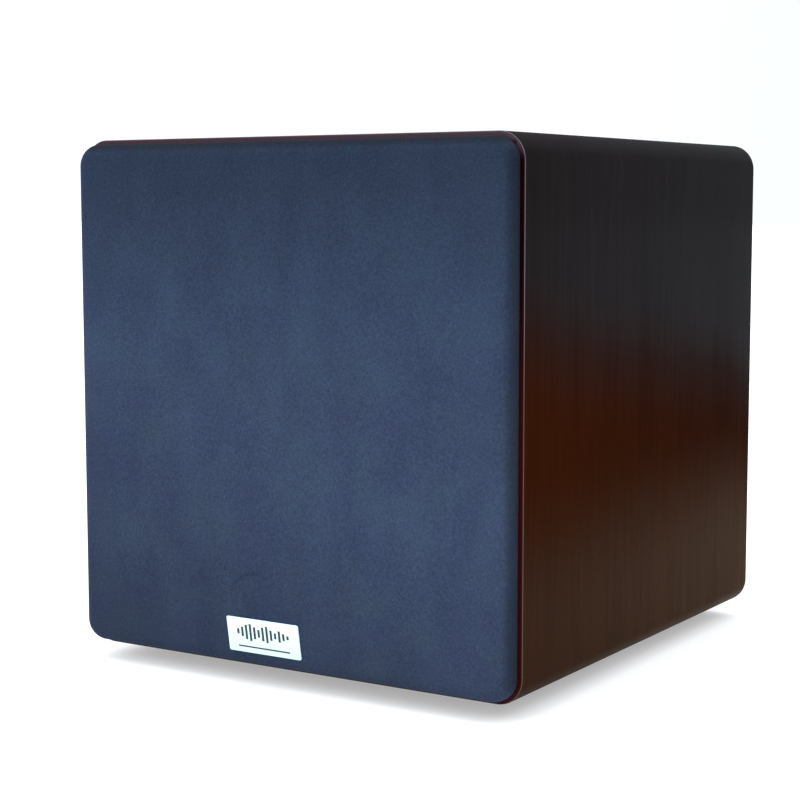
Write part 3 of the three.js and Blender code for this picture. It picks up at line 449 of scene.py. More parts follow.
def crease_shade(n):
    """The cloth's brightness, lowered by the painted shade of a short curved crease above the badge's left
    end.
    """
    left, top = BADGE_LO.x, BADGE_HI.z
    bend = Vector((left + 26 * MM, CLOTH_LO.y, top + 12 * MM))
    radius = 23 * MM
    distance = n.add("ShaderNodeVectorMath", {0: n.position(), 1: bend}, operation="DISTANCE")
    off = n.math("ABSOLUTE", n.math("SUBTRACT", distance.outputs["Value"], radius))
    line = n.span(off, 0.3 * MM, 2.4 * MM, 0.20, 0.0, smooth=True)
    above = n.span(n.axis("Z"), top + 18 * MM, top + 24 * MM)
    leftwards = n.span(n.axis("X"), left + 22 * MM, left + 44 * MM, 1.0, 0.0)
    return n.math("SUBTRACT", 1.0, n.times(line, above, leftwards))


def textured_black(name, colour, roughness, size, strength, specular=0.4):
    """Black paint or moulding with a fine orange-peel grain."""
    n = Nodes(name)
    pebbles = n.grain(size, 2.0)
    tone = n.mix(pebbles, scaled_colour(colour, 0.8), scaled_colour(colour, 1.2))
    n.set(Base_Color=tone, Roughness=roughness, Specular_IOR_Level=specular)
    n.bump(pebbles, strength, 0.0004)
    return n.material


def ridges(n, axis, pitch):
    """Parallel ridges along an axis, from 0 in a groove to 1 on a crest."""
    turn = n.math("MULTIPLY", n.axis(axis), 2 * math.pi / pitch)
    return n.span(n.math("SINE", turn), -1.0, 1.0)


def wound_wire(name, colour, pitch):
    """Enamelled wire in close turns, banded along Y."""
    n = Nodes(name)
    turns = ridges(n, "Y", pitch)
    tone = n.mix(turns, scaled_colour(colour, 0.45), colour)
    n.set(Base_Color=tone, Metallic=1.0, Roughness=0.3)
    n.bump(turns, 0.5, 0.0003)
    return n.material


def laminations():
    n = Nodes("core_steel")
    sheet = 0.5 * MM
    tone = n.mix(ridges(n, "X", sheet), rgb(0.10, 0.10, 0.11), rgb(0.26, 0.26, 0.28))
    n.set(Base_Color=tone, Metallic=0.8, Roughness=0.45)
    return n.material


def raw_mdf():
    n = Nodes("mdf")
    fibres = n.grain(350.0, 4.0, rough=0.7)
    tone = n.mix(fibres, rgb(0.27, 0.17, 0.095), rgb(0.47, 0.33, 0.20))
    n.set(Base_Color=tone, Roughness=0.85, Specular_IOR_Level=0.2)
    n.bump(fibres, 0.2, 0.0003)
    return n.material


def fluffy():
    n = Nodes("wadding")
    tufts = n.grain(90.0, 5.0, rough=0.7)
    n.set(Base_Color=n.mix(tufts, rgb(0.62, 0.61, 0.58), rgb(0.85, 0.84, 0.81)), Roughness=1.0)
    n.bump(tufts, 0.8, 0.003)
    return n.material


MATERIALS = {
    "veneer": lacquered_veneer(),
    "mdf": raw_mdf(),
    "black_board": textured_black("black_board", rgb(0.013, 0.0125, 0.0125), 0.62, 900.0, 0.15, 0.12),
    "wadding": fluffy(),
    "black_plastic": textured_black("black_plastic", rgb(0.017, 0.017, 0.018), 0.48, 1600.0, 0.10),
    "rubber": plain("rubber", rgb(0.017, 0.017, 0.018), 0.45, specular=0.4),
    "coated_steel": textured_black("coated_steel", rgb(0.024, 0.024, 0.027), 0.34, 1100.0, 0.12, 0.5),
    "foam": textured_black("foam", rgb(0.022, 0.022, 0.022), 0.9, 700.0, 0.4),
    "spider_cloth": plain("spider_cloth", rgb(0.44, 0.25, 0.05), 0.85, size=500.0, mottle=0.2),
    "zinc_steel": plain("zinc_steel", rgb(0.56, 0.57, 0.60), 0.34, metallic=1.0),
    "ferrite": textured_black("ferrite", rgb(0.040, 0.040, 0.045), 0.6, 500.0, 0.2),
    "tinsel": plain("tinsel", rgb(0.62, 0.60, 0.56), 0.4, metallic=1.0, size=900.0, mottle=0.3),
    "cone_paper": textured_black("cone_paper", rgb(0.017, 0.017, 0.019), 0.72, 380.0, 0.25, 0.2),
    "coil_former": plain("coil_former", rgb(0.33, 0.12, 0.02), 0.3),
    "copper": wound_wire("copper", rgb(0.72, 0.32, 0.14), 0.9 * MM),
    "grille_board": plain("grille_board", rgb(0.016, 0.016, 0.018), 0.7, specular=0.3),
    "grille_cloth": acoustic_cloth(),
    "badge": plain("badge", rgb(0.62, 0.83, 0.90), 0.45, specular=0.4, mottle=0.02),
    "amp_metal": textured_black("amp_metal", rgb(0.020, 0.020, 0.022), 0.42, 1300.0, 0.10),
    "circuit": plain("circuit", rgb(0.02, 0.15, 0.05), 0.35),
    "core_steel": laminations(),
    "led": plain("led", rgb(0.03, 0.30, 0.08), 0.15, mottle=0.02, Coat_Weight=1.0),
    "red_plastic": plain("red_plastic", rgb(0.40, 0.012, 0.010), 0.4),
    "glass": plain("glass", rgb(0.85, 0.87, 0.87), 0.05, mottle=0.01, Transmission_Weight=0.9),
    "red_wire": plain("red_wire", rgb(0.38, 0.015, 0.012), 0.45),
    "black_wire": plain("black_wire", rgb(0.017, 0.017, 0.017), 0.45),
}
INK = plain("badge_ink", rgb(0.012, 0.013, 0.014), 0.5)
WHITE_PRINT = plain("white_print", rgb(0.75, 0.75, 0.74), 0.6, mottle=0.03)
GOLD = plain("gold_plating", rgb(0.86, 0.62, 0.26), 0.25, metallic=1.0, mottle=0.05)


def paint_the_frame():
    """Every CAD node takes the material of its slot in the record."""
    for entry in frame["record"]["subparts"]:
        node = frame["nodes"][entry["node"]]
        node.data.materials.clear()
        node.data.materials.append(MATERIALS[entry["material_slot"]])
        node.data.polygons.foreach_set("use_smooth", [True] * len(node.data.polygons))
        node.data.set_sharp_from_angle(angle=math.radians(SMOOTH))


# ---- cabinet
def cabinet_shell():
    """The veneered skin, which turns in over the walls' front and rear edges and just inside them."""
    lip = 0.3 * MM  # how far it stands past the walls' ends
    edge = 1.5 * MM  # radius of its front and rear edges
    skin_thick = 0.8 * MM
    shoulder = 0.6 * MM  # height of the slope from the walls' ends up to its inner face
    seam = 0.05 * MM  # gap between it and the walls
    turned_in = 0.2 * MM
    reach = 1.9 * MM  # how far it runs back inside the walls

    def rolled(plane, out):
        """The section round one end: from the side, over the edge and in along the wall's end grain."""
        inner = WALL + turned_in
        return arc(edge, plane + out * (lip - edge), edge, 180, 180 - out * 90, 5) + [
            (inner, plane + out * lip), (inner, plane - out * reach),
            (WALL + seam, plane - out * reach), (WALL + seam, plane + out * seam),
            (edge, plane + out * seam), (skin_thick, plane - out * shoulder)]

    section = rolled(FRONT, -1) + rolled(REAR, 1)[::-1]
    loops = [rounded_loop(HALF_W - d, HALF_H - d, CORNER - d, y) for d, y in section]
    verts, faces = skin(loops, closed=True)
    shell = make("cabinet_shell", verts, faces, "veneer", "cabinet")
    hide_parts("veneer_wrap")


def front_baffle():
    """The baffle, with a rebate for the driver's flange and blind holes for the grille's cups."""
    lo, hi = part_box("front_baffle")
    cut_r = 139 * MM
    rebate_r = BASKET_HI.x + 1.4 * MM
    ledge = lo.y + 7.3 * MM
    play = 0.3 * MM  # between a cup and its hole

    def outline(y):
        return rounded_loop(hi.x, (hi.z - lo.z) / 2, CORNER - WALL, y)

    def hole(cup, y):
        cup_lo, cup_hi = cup
        middle = (cup_lo + cup_hi) / 2
        return circle((cup_hi.x - cup_lo.x) / 2 + play, y, middle.x, middle.z, FINE // 2)

    loops = [
        outline(lo.y), circle(rebate_r, lo.y), circle(rebate_r, ledge), circle(cut_r, ledge),
        circle(cut_r, hi.y), outline(hi.y)]
    cups = [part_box(name) for name in frame["nodes"] if name.startswith("grille_cup")]
    mouths = range(len(loops), len(loops) + len(cups))
    loops += [hole(cup, lo.y) for cup in cups] + [hole(cup, cup[1].y + play) for cup in cups]
    starts = [sum(len(loop) for loop in loops[:i]) for i in range(len(loops) + 1)]

    def wall(a, b):
        count = len(loops[a])
        return [[starts[a] + i, starts[a] + (i + 1) % count, starts[b] + (i + 1) % count, starts[b] + i]
                for i in range(count)]

    def flat(ids):
        """The flat face between an outline and the holes in it."""
        order = [starts[k] + i for k in ids for i in range(len(loops[k]))]
        return [[order[i] for i in face] for face in tessellate_polygon([loops[k] for k in ids])]

    faces = flat([0, 1, *mouths]) + wall(1, 2) + wall(2, 3) + wall(3, 4) + flat([5, 4]) + wall(5, 0)
    for mouth in mouths:
        bottom = mouth + len(cups)
        faces += wall(mouth, bottom) + [list(range(starts[bottom], starts[bottom + 1]))]
    baffle = make("front_baffle_fine", [v for loop in loops for v in loop], faces, "black_board", "cabinet")
    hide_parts("front_baffle")


def rubber_feet():
    """Turned feet, each with its screw sunk in a recess underneath."""
    recess_r, recess = 4.5 * MM, 6 * MM
    for name in sorted(node for node in frame["nodes"] if node.startswith("foot_")):
        lo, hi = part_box(name)
        centre, radius, top = (lo + hi) / 2, (hi.x - lo.x) / 2, hi.z
        # Radius and height, from the screw's recess underneath to the flat top.
        outline = [
            (0, recess), (recess_r, recess), (recess_r + 0.3 * MM, recess - 0.3 * MM),
            (recess_r + 0.5 * MM, 0.5 * MM), (recess_r + 1 * MM, 0), (radius - 3.2 * MM, 0),
            (radius - 1.6 * MM, 0.5 * MM), (radius - 0.4 * MM, 1.8 * MM), (radius, 3.4 * MM),
            (radius - 2 * MM, top), (0, top)]
        verts, faces = turned_parts(outline, 0, 0, FINE)
        stood_up = [Vector((v.x + centre.x, v.z + centre.y, v.y)) for v in verts]
        foot = make(name + "_pad", stood_up, faces, "rubber", "cabinet")
        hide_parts(name)
        head, head_faces = socket_head(3.8 * MM, 2.4 * MM)
        sunk = [Vector((v.x + centre.x, v.z + centre.y, recess - v.y)) for v in head]
        make(name + "_screw", sunk, head_faces, "zinc_steel", "cabinet")


# ---- grille
CLOTH = 0.7 * MM
FRAME_BORDER = 32 * MM
WINDOW_CORNER = 45 * MM
FOLD = 14 * MM
SAG = 0.7 * MM  # how far the cloth falls in behind the frame's window edge
SAG_WIDTH = 9 * MM  # and over what width


def cloth_level(inset):
    """How far the stretched cloth lies behind the grille's front plane, at an inset from its outline."""
    return SAG * eased((inset - FRAME_BORDER) / SAG_WIDTH)


def cloth_corner(inset):
    """The corner radius of a line round the cloth: tight at the edge, wide at the window, then tight."""
    outline = CORNER - 3.5 * MM
    tightening, tightest = 0.35, 4 * MM
    if inset <= EDGE_ROUND:
        return outline - inset
    if inset <= FRAME_BORDER:
        share = (inset - EDGE_ROUND) / (FRAME_BORDER - EDGE_ROUND)
        return (outline - EDGE_ROUND) * (1 - share) + WINDOW_CORNER * share
    return max(WINDOW_CORNER - (inset - FRAME_BORDER) * tightening, tightest)


def cloth_loop(inset, y):
    half_w = CLOTH_HI.x - inset
    half_h = (CLOTH_HI.z - CLOTH_LO.z) / 2 - inset
    corner = min(cloth_corner(inset), half_w * 0.95)
    return rounded_loop(half_w, half_h, corner, y, side_steps=44)


def cloth_section(skin_depth):
    """(inset, y) from the fold behind the frame, round the edge and in to the middle of the front."""
    back = CLOTH_HI.y - skin_depth
    front = CLOTH_LO.y + skin_depth
    radius = EDGE_ROUND - skin_depth
    bend = 0.6 * MM  # at the rear edge
    section = [(FOLD, back), (4 * MM, back), (skin_depth + bend, back), (skin_depth, back - bend)]
    section += arc(skin_depth + radius, front + radius, radius, 180, 270, 8)
    # In mm, close together where the cloth falls in behind the window's edge.
    insets = [16, 22, 28, 31, 33, 35, 37, 39, 41, 44, 52, 66, 84, 104, 126, 150, 172, 188]
    return section + [(i * MM, front + cloth_level(i * MM)) for i in insets]


def grille_cloth():
    outer = [cloth_loop(i, y) for i, y in cloth_section(0)]
    inner = [cloth_loop(i, y) for i, y in cloth_section(CLOTH)]
    # The outside and the inside are one skin, joined round the end of the fold.
    verts, faces = skin(inner[::-1] + outer)
    cloth = make("grille_cloth_fine", verts, faces, "grille_cloth", "grille", sharp=60)
    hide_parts("grille_cloth")


def badge():
    """A pale plate, leaning a little, with a plain row of level bars over a line."""
    lo, hi = BADGE_LO, BADGE_HI
    lean = 0.13  # sideways, as a share of the height
    height = hi.z - lo.z
    width = hi.x - lo.x - lean * height
    centre = (lo + hi) / 2
    corner = 1.3 * MM
    edge = 0.25 * MM
    ink = 0.12 * MM  # how far the marks stand proud
    face = lo.y + ink

    def leaning(v):
        return Vector((v.x - lean * (v.z - centre.z), v.y, v.z))

    def loop(inset, y):
        flat = rounded_loop(
            width / 2 - inset, height / 2 - inset, corner - inset, y, centre.x, centre.z, 5, 2)
        return [leaning(v) for v in flat]

    def mark(x, z, half_w, half_h):
        rooted = face + 0.05 * MM
        return box_parts((x - half_w, lo.y, z - half_h), (x + half_w, rooted, z + half_h))

    plate = make(
        "badge_plate_fine", *skin([loop(0, hi.y), loop(0, face + edge), loop(edge, face)]),
        "badge", "grille", sharp=50)
    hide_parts("badge_plate")

    levels = [0.30, 0.55, 0.85, 1.0, 0.70, 0.45, 0.80, 0.95, 0.60, 0.35, 0.65, 0.40, 0.22]
    pitch, bar, tallest = 3.9 * MM, 2.1 * MM, 13.2 * MM
    bars_up, line_down, line = 2.6 * MM, 8.6 * MM, 1.1 * MM
    parts = []
    for i, level in enumerate(levels):
        x = centre.x + (i - (len(levels) - 1) / 2) * pitch
        parts.append(mark(x, centre.z + bars_up, bar / 2, tallest / 2 * level))
    reach = len(levels) / 2 * pitch - 1 * MM
    parts.append(mark(centre.x, centre.z - line_down, reach, line / 2))
    verts, faces = merged(parts)
    make("badge_bars", [leaning(v) for v in verts], faces, "badge", "grille", INK)


# ---- driver
CONE_LO, CONE_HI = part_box("cone")
ROLL_LO, ROLL_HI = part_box("surround")
CAP_LO, CAP_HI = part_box("dust_cap")
SPIDER_LO, SPIDER_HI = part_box("spider")
FORMER_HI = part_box("voice_coil_former")[1]
LEDGE_R = 80 * MM  # the basket's step that carries the spider
NECK_R = FORMER_HI.x + 0.4 * MM  # where the cone and the spider meet the coil's former
LIP_R = CONE_HI.x  # where the surround is glued to the cone
EDGE_R = LIP_R - 7 * MM
ROLL_R = 133 * MM  # where the surround's roll meets the frame


def driver_basket():
    """The pressed frame: flange, skirt with six windows, the spider's ledge and the magnet's seat."""
    sheet = 1.5 * MM
    face, back = BASKET_LO.y, BASKET_LO.y + sheet
    outer, inner = BASKET_HI.x, 130 * MM
    brim = back + 2.5 * MM
    seat = BASKET_HI.y
    seat_r, hole_r = 62 * MM, 42 * MM
    ledge, ledge_back = FRONT + 71 * MM, FRONT + 73.5 * MM
    top, foot = 121 * MM, 88 * MM  # a window's outer and inner radius
    spokes, bolts, bolt_circle = 6, 8, 148 * MM
    skirt_in = [(126 * MM, FRONT + 25 * MM), (LEDGE_R - 1 * MM, ledge)]
    skirt_out = [(inner, FRONT + 26 * MM), (LEDGE_R, ledge_back)]

    def on_skirt(line, r):
        share = (r - line[0][0]) / (line[1][0] - line[0][0])
        return r, line[0][1] + share * (line[1][1] - line[0][1])

    inside = [on_skirt(skirt_in, r) for r in (top, foot)]
    outside = [on_skirt(skirt_out, r) for r in (foot, top)]
    section = [
        (inner, face), (outer - 0.9 * MM, face), (outer - 0.25 * MM, face + 0.25 * MM),
        (outer, face + 0.9 * MM), (outer, brim), (outer - sheet, brim), (outer - sheet, back),
        (inner + 6 * MM, back), skirt_out[0], outside[1], outside[0], skirt_out[1],
        (LEDGE_R - 8 * MM, ledge_back), (seat_r, seat), (hole_r, seat), (hole_r, seat - sheet),
        (seat_r - 2 * MM, seat - sheet), (seat_r + 4 * MM, ledge), skirt_in[1], inside[1], inside[0],
        skirt_in[0]]
    verts, faces = turned_parts(section, 0, MID_Z, FINEST)
    per_spoke = FINEST // spokes
    open_half = per_spoke // 3  # facets either side of a window's middle
    cut_edges = {section.index(outside[1]), section.index(inside[1])}

    def in_window(j):
        return abs(j % per_spoke - per_spoke // 2 + 0.5) < open_half

    kept = [face for i, face in enumerate(faces)
            if not (i // FINEST in cut_edges and in_window(i % FINEST))]
    corners = [section.index(p) for p in (inside[0], inside[1], outside[0], outside[1])]
    for j in range(FINEST):
        here = [k * FINEST + j for k in corners]
        beyond = [k * FINEST + (j + 1) % FINEST for k in corners]
        if in_window(j):
            kept += [[here[0], beyond[0], beyond[3], here[3]], [here[1], beyond[1], beyond[2], here[2]]]
        if in_window(j) != in_window((j + 1) % FINEST):
            kept.append(beyond)
    basket = make("driver_basket_fine", verts, kept, "coated_steel", "cabinet")
    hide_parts("driver_basket")

    places = circle(bolt_circle, face, facets=2 * bolts)[1::2]
    screws("driver_screws", places, -1, 4.4 * MM, 1.7 * MM, "coated_steel", "cabinet")


def bend_with_cone(piece):
    """Bakes the piece's placement into its points; it rides on no body and doesn't stretch with the cone.
    """
    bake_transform(piece)


def rubber_surround():
    """A half roll between the cone's lip and the basket's flange."""
    thick = 1.2 * MM
    back, front = ROLL_HI.y, ROLL_HI.y - thick
    middle, half = (LIP_R + ROLL_R) / 2, (ROLL_R - LIP_R) / 2
    height = front - ROLL_LO.y
    glued = EDGE_R + 2 * MM

    def roll(radius, rise, start, end):
        return [(middle + radius * r, front - rise * up) for r, up in arc(0, 0, 1, start, end, 14)]

    section = [
        (glued, front), *roll(half, height, 180, 0), (ROLL_HI.x, front), (ROLL_HI.x, back),
        (ROLL_R - thick, back), *roll(half - thick, height - thick, 0, 180)[1:-1],
        (LIP_R + thick, back), (glued, back)]
    piece = turned("surround_fine", section, "rubber", None, facets=FINEST, sharp=50)
    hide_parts("surround")
    bend_with_cone(piece)


def cone_depth(r):
    """The depth of the cone's slightly curved face at a radius."""
    neck, edge = CONE_HI.y - 2.2 * MM, CONE_LO.y
    curve = 0.089
    share = (r - NECK_R) / (EDGE_R - NECK_R)
    return neck + (edge - neck) * (share - curve * share * (1 - share))


def paper_cone():
    through = 1.5 * MM  # the paper's thickness along the axis
    steps = 10
    radii = [NECK_R + (EDGE_R - NECK_R) * i / steps for i in range(steps + 1)]
    face = [(r, cone_depth(r)) for r in radii]
    back = [(r, y + through) for r, y in face[::-1]]
    lip = [(LIP_R, CONE_LO.y), (LIP_R, CONE_LO.y + 1.2 * MM), (EDGE_R + 1 * MM, CONE_LO.y + 1.6 * MM)]
    piece = turned("cone_fine", face + lip + back[1:], "cone_paper", "cone", sharp=40)
    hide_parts("cone")


def dust_cap():
    thick = 0.9 * MM
    base = CAP_HI.y - 1 * MM
    rise = base - CAP_LO.y
    radius = CAP_HI.x
    steps = 12

    def dome(r, up):
        return [(r * i / steps, base - up * (1 - (i / steps) ** 2)) for i in range(steps + 1)]

    outer, inner = dome(radius, rise), dome(radius - thick, rise - thick)
    section = outer + [(radius - thick, CAP_HI.y)] + inner[::-1]
    piece = turned("dust_cap_fine", section, "cone_paper", "cone", sharp=50)
    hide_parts("dust_cap")


def corrugated_spider():
    """The yellow cloth disc that centres the coil: rolls between its neck and its glued rim."""
    thick = 0.9 * MM
    rolls, rise = 3, 1.3 * MM
    first, last = NECK_R + 5 * MM, SPIDER_HI.x - 7 * MM
    rest = SPIDER_LO.y + rise
    rim = rest + 1.4 * MM
    section = [(NECK_R, rest)]
    steps = 44
    for i in range(steps + 1):
        wave = 2 * rolls * i / steps
        depth = rest - rise * math.sin(math.pi * min(wave, 2 * rolls - 0.5))
        section.append((first + (last - first) * i / steps, depth))
    section += [(last + 1 * MM, rim), (SPIDER_HI.x, rim)]
    under = [(r, y + thick) for r, y in section[::-1]]
    piece = turned("spider_fine", section + under, "spider_cloth", None, sharp=60)
    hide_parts("spider")
    bend_with_cone(piece)


def driver_motor():
    """The magnet between its steel plates, the rear one with the pole and its vent."""
    chamfer = 0.8 * MM
    gap_r, magnet_bore = 28.6 * MM, 33 * MM
    vent, pole, thick = 8 * MM, 24.2 * MM, 8 * MM
    countersink = 4 * MM

    def edged(r, y0, y1):
        """The outer side of a round plate, with chamfered edges."""
        return [(r - chamfer, y0), (r, y0 + chamfer), (r, y1 - chamfer), (r - chamfer, y1)]

    for node, bore, slot in (("top_plate", gap_r, "zinc_steel"), ("magnet", magnet_bore, "ferrite")):
        lo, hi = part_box(node)
        section = [(bore, lo.y), *edged(hi.x, lo.y, hi.y), (bore, hi.y)]
        ring = turned(node + "_fine", section, slot, "cabinet")
        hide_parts(node)
    lo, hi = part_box("yoke")
    plate = hi.y - thick
    section = [
        (vent, lo.y), (pole, lo.y), (pole, plate), *edged(hi.x, plate, hi.y),
        (vent + countersink, hi.y), (vent, hi.y - countersink)]
    yoke = turned("yoke_fine", section, "zinc_steel", "cabinet")
    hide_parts("yoke")


def tinsel_leads():
    """Braided leads from the strip behind the ledge, round a spoke, to the back of the cone."""
    for name, side in (("tinsel_lead_upper", 1), ("tinsel_lead_lower", -1)):
        # In mm: x, depth behind the cabinet's front rim, and height off the driver's axis.
        path = [(92, 72.5, 17), (93, 66, 18), (89, 56, 19), (76, 50, 17), (60, 48, 14), (47, 46.9, 10.5)]
        points = [Vector((x * MM, FRONT + s * MM, MID_Z + side * z * MM)) for x, s, z in path]
        lead = braid(name + "_fine", points, 0.85 * MM)
        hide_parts(name)
        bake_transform(lead)


def braid(name, points, radius):
    """A round lead along a smooth curve through the points."""
    steps, sides = 6, 10
    curve = []
    ends = [points[0] * 2 - points[1]] + points + [points[-1] * 2 - points[-2]]
    for a, b, c, d in zip(ends, ends[1:], ends[2:], ends[3:]):
        for i in range(steps):
            t = i / steps
            curve.append(0.5 * (2 * b + (c - a) * t + (2 * a - 5 * b + 4 * c - d) * t * t
                                + (3 * b - a - 3 * c + d) * t ** 3))
    curve.append(points[-1])
    loops = []
    side = Vector((0, 0, 1))
    for i, centre in enumerate(curve):
        along = (curve[min(i + 1, len(curve) - 1)] - curve[max(i - 1, 0)]).normalized()
        side = (side - along * side.dot(along)).normalized()
        other = along.cross(side)
        turns = [2 * math.pi * j / sides for j in range(sides)]
        loops.append([centre + radius * (side * math.cos(t) + other * math.sin(t)) for t in turns])
    return make(name, *skin(loops), "tinsel", None)


# ---- back
def reflex_port():
    """The port's tube, its mouth flared out to the flange."""
    bore, wall, flare = 38 * MM, 3 * MM, 11 * MM
    edge = 1 * MM
    centre = (PORT_LO.z + PORT_HI.z) / 2
    lip, seat = PORT_HI.y, PORT_HI.y - wall
    flange = PORT_HI.x
    mouth = arc(bore + flare, lip - flare, flare, 180, 90, 12)
    rim = arc(flange - edge, lip - edge, edge, 90, 0, 4)
    inner_end = arc(bore + wall / 2, PORT_LO.y + wall / 2, wall / 2, 0, -180, 8)
    section = mouth + rim + [(flange, seat), (bore + wall, seat)] + inner_end
    tube = turned("port_tube_fine", section, "black_plastic", "cabinet", z=centre)
    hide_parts("port_tube")


def control_knob(name):
    """A skirted knob with a fluted grip and a white pointer, which stands straight up at rest."""
    lo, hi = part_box(name)
    x, z = (lo.x + hi.x) / 2, (lo.z + hi.z) / 2
    stem, skirt = 3 * MM, hi.x - x
    grip, top = skirt - 1.2 * MM, skirt - 2.3 * MM
    y0, y1 = PLATE_OUT + 1.5 * MM, hi.y
    edge, dish = 0.3 * MM, 0.4 * MM
    outline = [
        (0, lo.y), (stem, lo.y), (stem, y0), (skirt - edge, y0), (skirt, y0 + edge),
        (skirt, y0 + 1.7 * MM), (skirt - edge, y0 + 2 * MM), (grip, y0 + 2.6 * MM),
        (grip, y0 + 3.2 * MM), (top, y1 - 1 * MM), (top - edge, y1 - edge), (top - 1 * MM, y1),
        (top - 2.6 * MM, y1), (top - 3.1 * MM, y1 - dish), (0, y1 - dish)]
    fluted = (8, 9)  # the grip's two outline points
    flute, flute_count = 0.45 * MM, 18

    def flutes(r, k, turn):
        return r - flute * max(0, math.cos(flute_count * turn)) ** 2 if k in fluted else r

    knob = turned(name + "_fine", outline, "black_plastic", name, x, z, FINEST, flutes, sharp=38)
    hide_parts(name)
    half_line = 0.6 * MM
    pointer = box_parts(
        (x - half_line, y1 - 1 * MM, z + 1.5 * MM), (x + half_line, y1 + 0.1 * MM, z + top - 1 * MM))
    make(name + "_pointer", *pointer, "black_plastic", name, WHITE_PRINT)
    dial_scale(name, x, z)


def dial_scale(name, x, z):
    """Eleven marks round a knob, every fifth one longer."""
    first, pitch = -150, 30
    start, half_line = 13 * MM, 0.3 * MM
    marks = []
    for i in range(11):
        turn = math.radians(first + pitch * i)
        end = start + (3 * MM if i % 5 == 0 else 2 * MM)
        out = Vector((math.sin(turn), 0, math.cos(turn)))
        side = Vector((math.cos(turn), 0, -math.sin(turn)))
        corners = [
            Vector((x, PLATE_OUT + rise, z)) + out * r + side * s
            for r in (start, end) for rise in (-0.02 * MM, 0.08 * MM) for s in (-half_line, half_line)]
        marks.append((corners, BOX_FACES))
    make(name + "_scale", *merged(marks), "amp_metal", "cabinet", WHITE_PRINT)


def phono_sockets():
    """Two coaxial sockets: plated barrels in an insulated block, each ringed in its channel's colour."""
    lo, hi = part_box("rca_block")
    x, z = (lo.x + hi.x) / 2, (lo.z + hi.z) / 2
    inner = PLATE_LO.y - 0.3 * MM
    block = make(
        "rca_block_fine", *box_parts(lo, (hi.x, inner, hi.z)), "black_plastic", "cabinet")
    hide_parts("rca_block")
    apart = 18 * MM
    pin_hole, bore, barrel_r, collar_r = 1.6 * MM, 3.3 * MM, 4.2 * MM, 6.6 * MM
    in_bore = pin_hole + 0.3 * MM
    end, rim, root = hi.y, PLATE_OUT + 1.4 * MM, PLATE_OUT - 1 * MM
    barrel = [
        (in_bore, root), (barrel_r, root), (barrel_r, end - 0.5 * MM), (barrel_r - 0.4 * MM, end),
        (bore, end), (bore, end - 1 * MM), (in_bore, end - 1 * MM)]
    core = [
        (pin_hole, end - 7 * MM), (bore, end - 7 * MM), (bore, end - 0.9 * MM),
        (pin_hole, end - 0.9 * MM)]
    collar = [
        (barrel_r, root), (collar_r, PLATE_OUT + 0.05 * MM), (collar_r, rim - 0.4 * MM),
        (collar_r - 0.4 * MM, rim), (barrel_r, rim)]
    for name, side, colour in (("left", -1, WHITE_PRINT), ("right", 1, MATERIALS["red_plastic"])):
        for piece, section, finish in (
                ("barrel", barrel, GOLD), ("core", core, colour), ("collar", collar, colour)):
            turned(f"phono_{name}_{piece}", section, "black_plastic", "cabinet",
                   x + side * apart / 2, z, FINE, material=finish)


def status_lamp():
    """A domed lamp on a flanged base behind the plate, in a plated bezel."""
    lo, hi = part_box("status_led")
    x, z = (lo.x + hi.x) / 2, (lo.z + hi.z) / 2
    radius = 2.5 * MM
    base_r, base = radius + 0.9 * MM, PLATE_OUT - 2.8 * MM
    dome = arc(0, hi.y - radius, radius, 0, 90, 8)[:-1]
    outline = [(0, lo.y), (base_r, lo.y), (base_r, base), (radius, base), *dome, (0, hi.y)]
    lamp = turned("status_led_fine", outline, "led", "cabinet", x, z, FINE)
    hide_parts("status_led")
    inner, outer, chamfer = radius + 0.1 * MM, radius + 1.2 * MM, 0.3 * MM
    rim = PLATE_OUT + 0.6 * MM
    bezel = [
        (inner, PLATE_OUT), (outer, PLATE_OUT), (outer, rim - chamfer), (outer - chamfer, rim),
        (inner, rim)]
    turned("status_led_bezel", bezel, "zinc_steel", "cabinet", x, z, FINE)


def plate_screws():
    inset = 6.5 * MM
    centre = (PLATE_LO.z + PLATE_HI.z) / 2
    reach = PLATE_HI.z - centre - inset
    side = PLATE_HI.x - inset
    spots = [(s * side, share * reach) for s in (-1, 1) for share in (-1, -1 / 3, 1 / 3, 1)]
    spots += [(0, -reach), (0, reach)]
    places = [Vector((x, PLATE_OUT, centre + up)) for x, up in spots]
    screws("amp_plate_screws", places, 1, 3.4 * MM, 2 * MM, "zinc_steel", "cabinet")


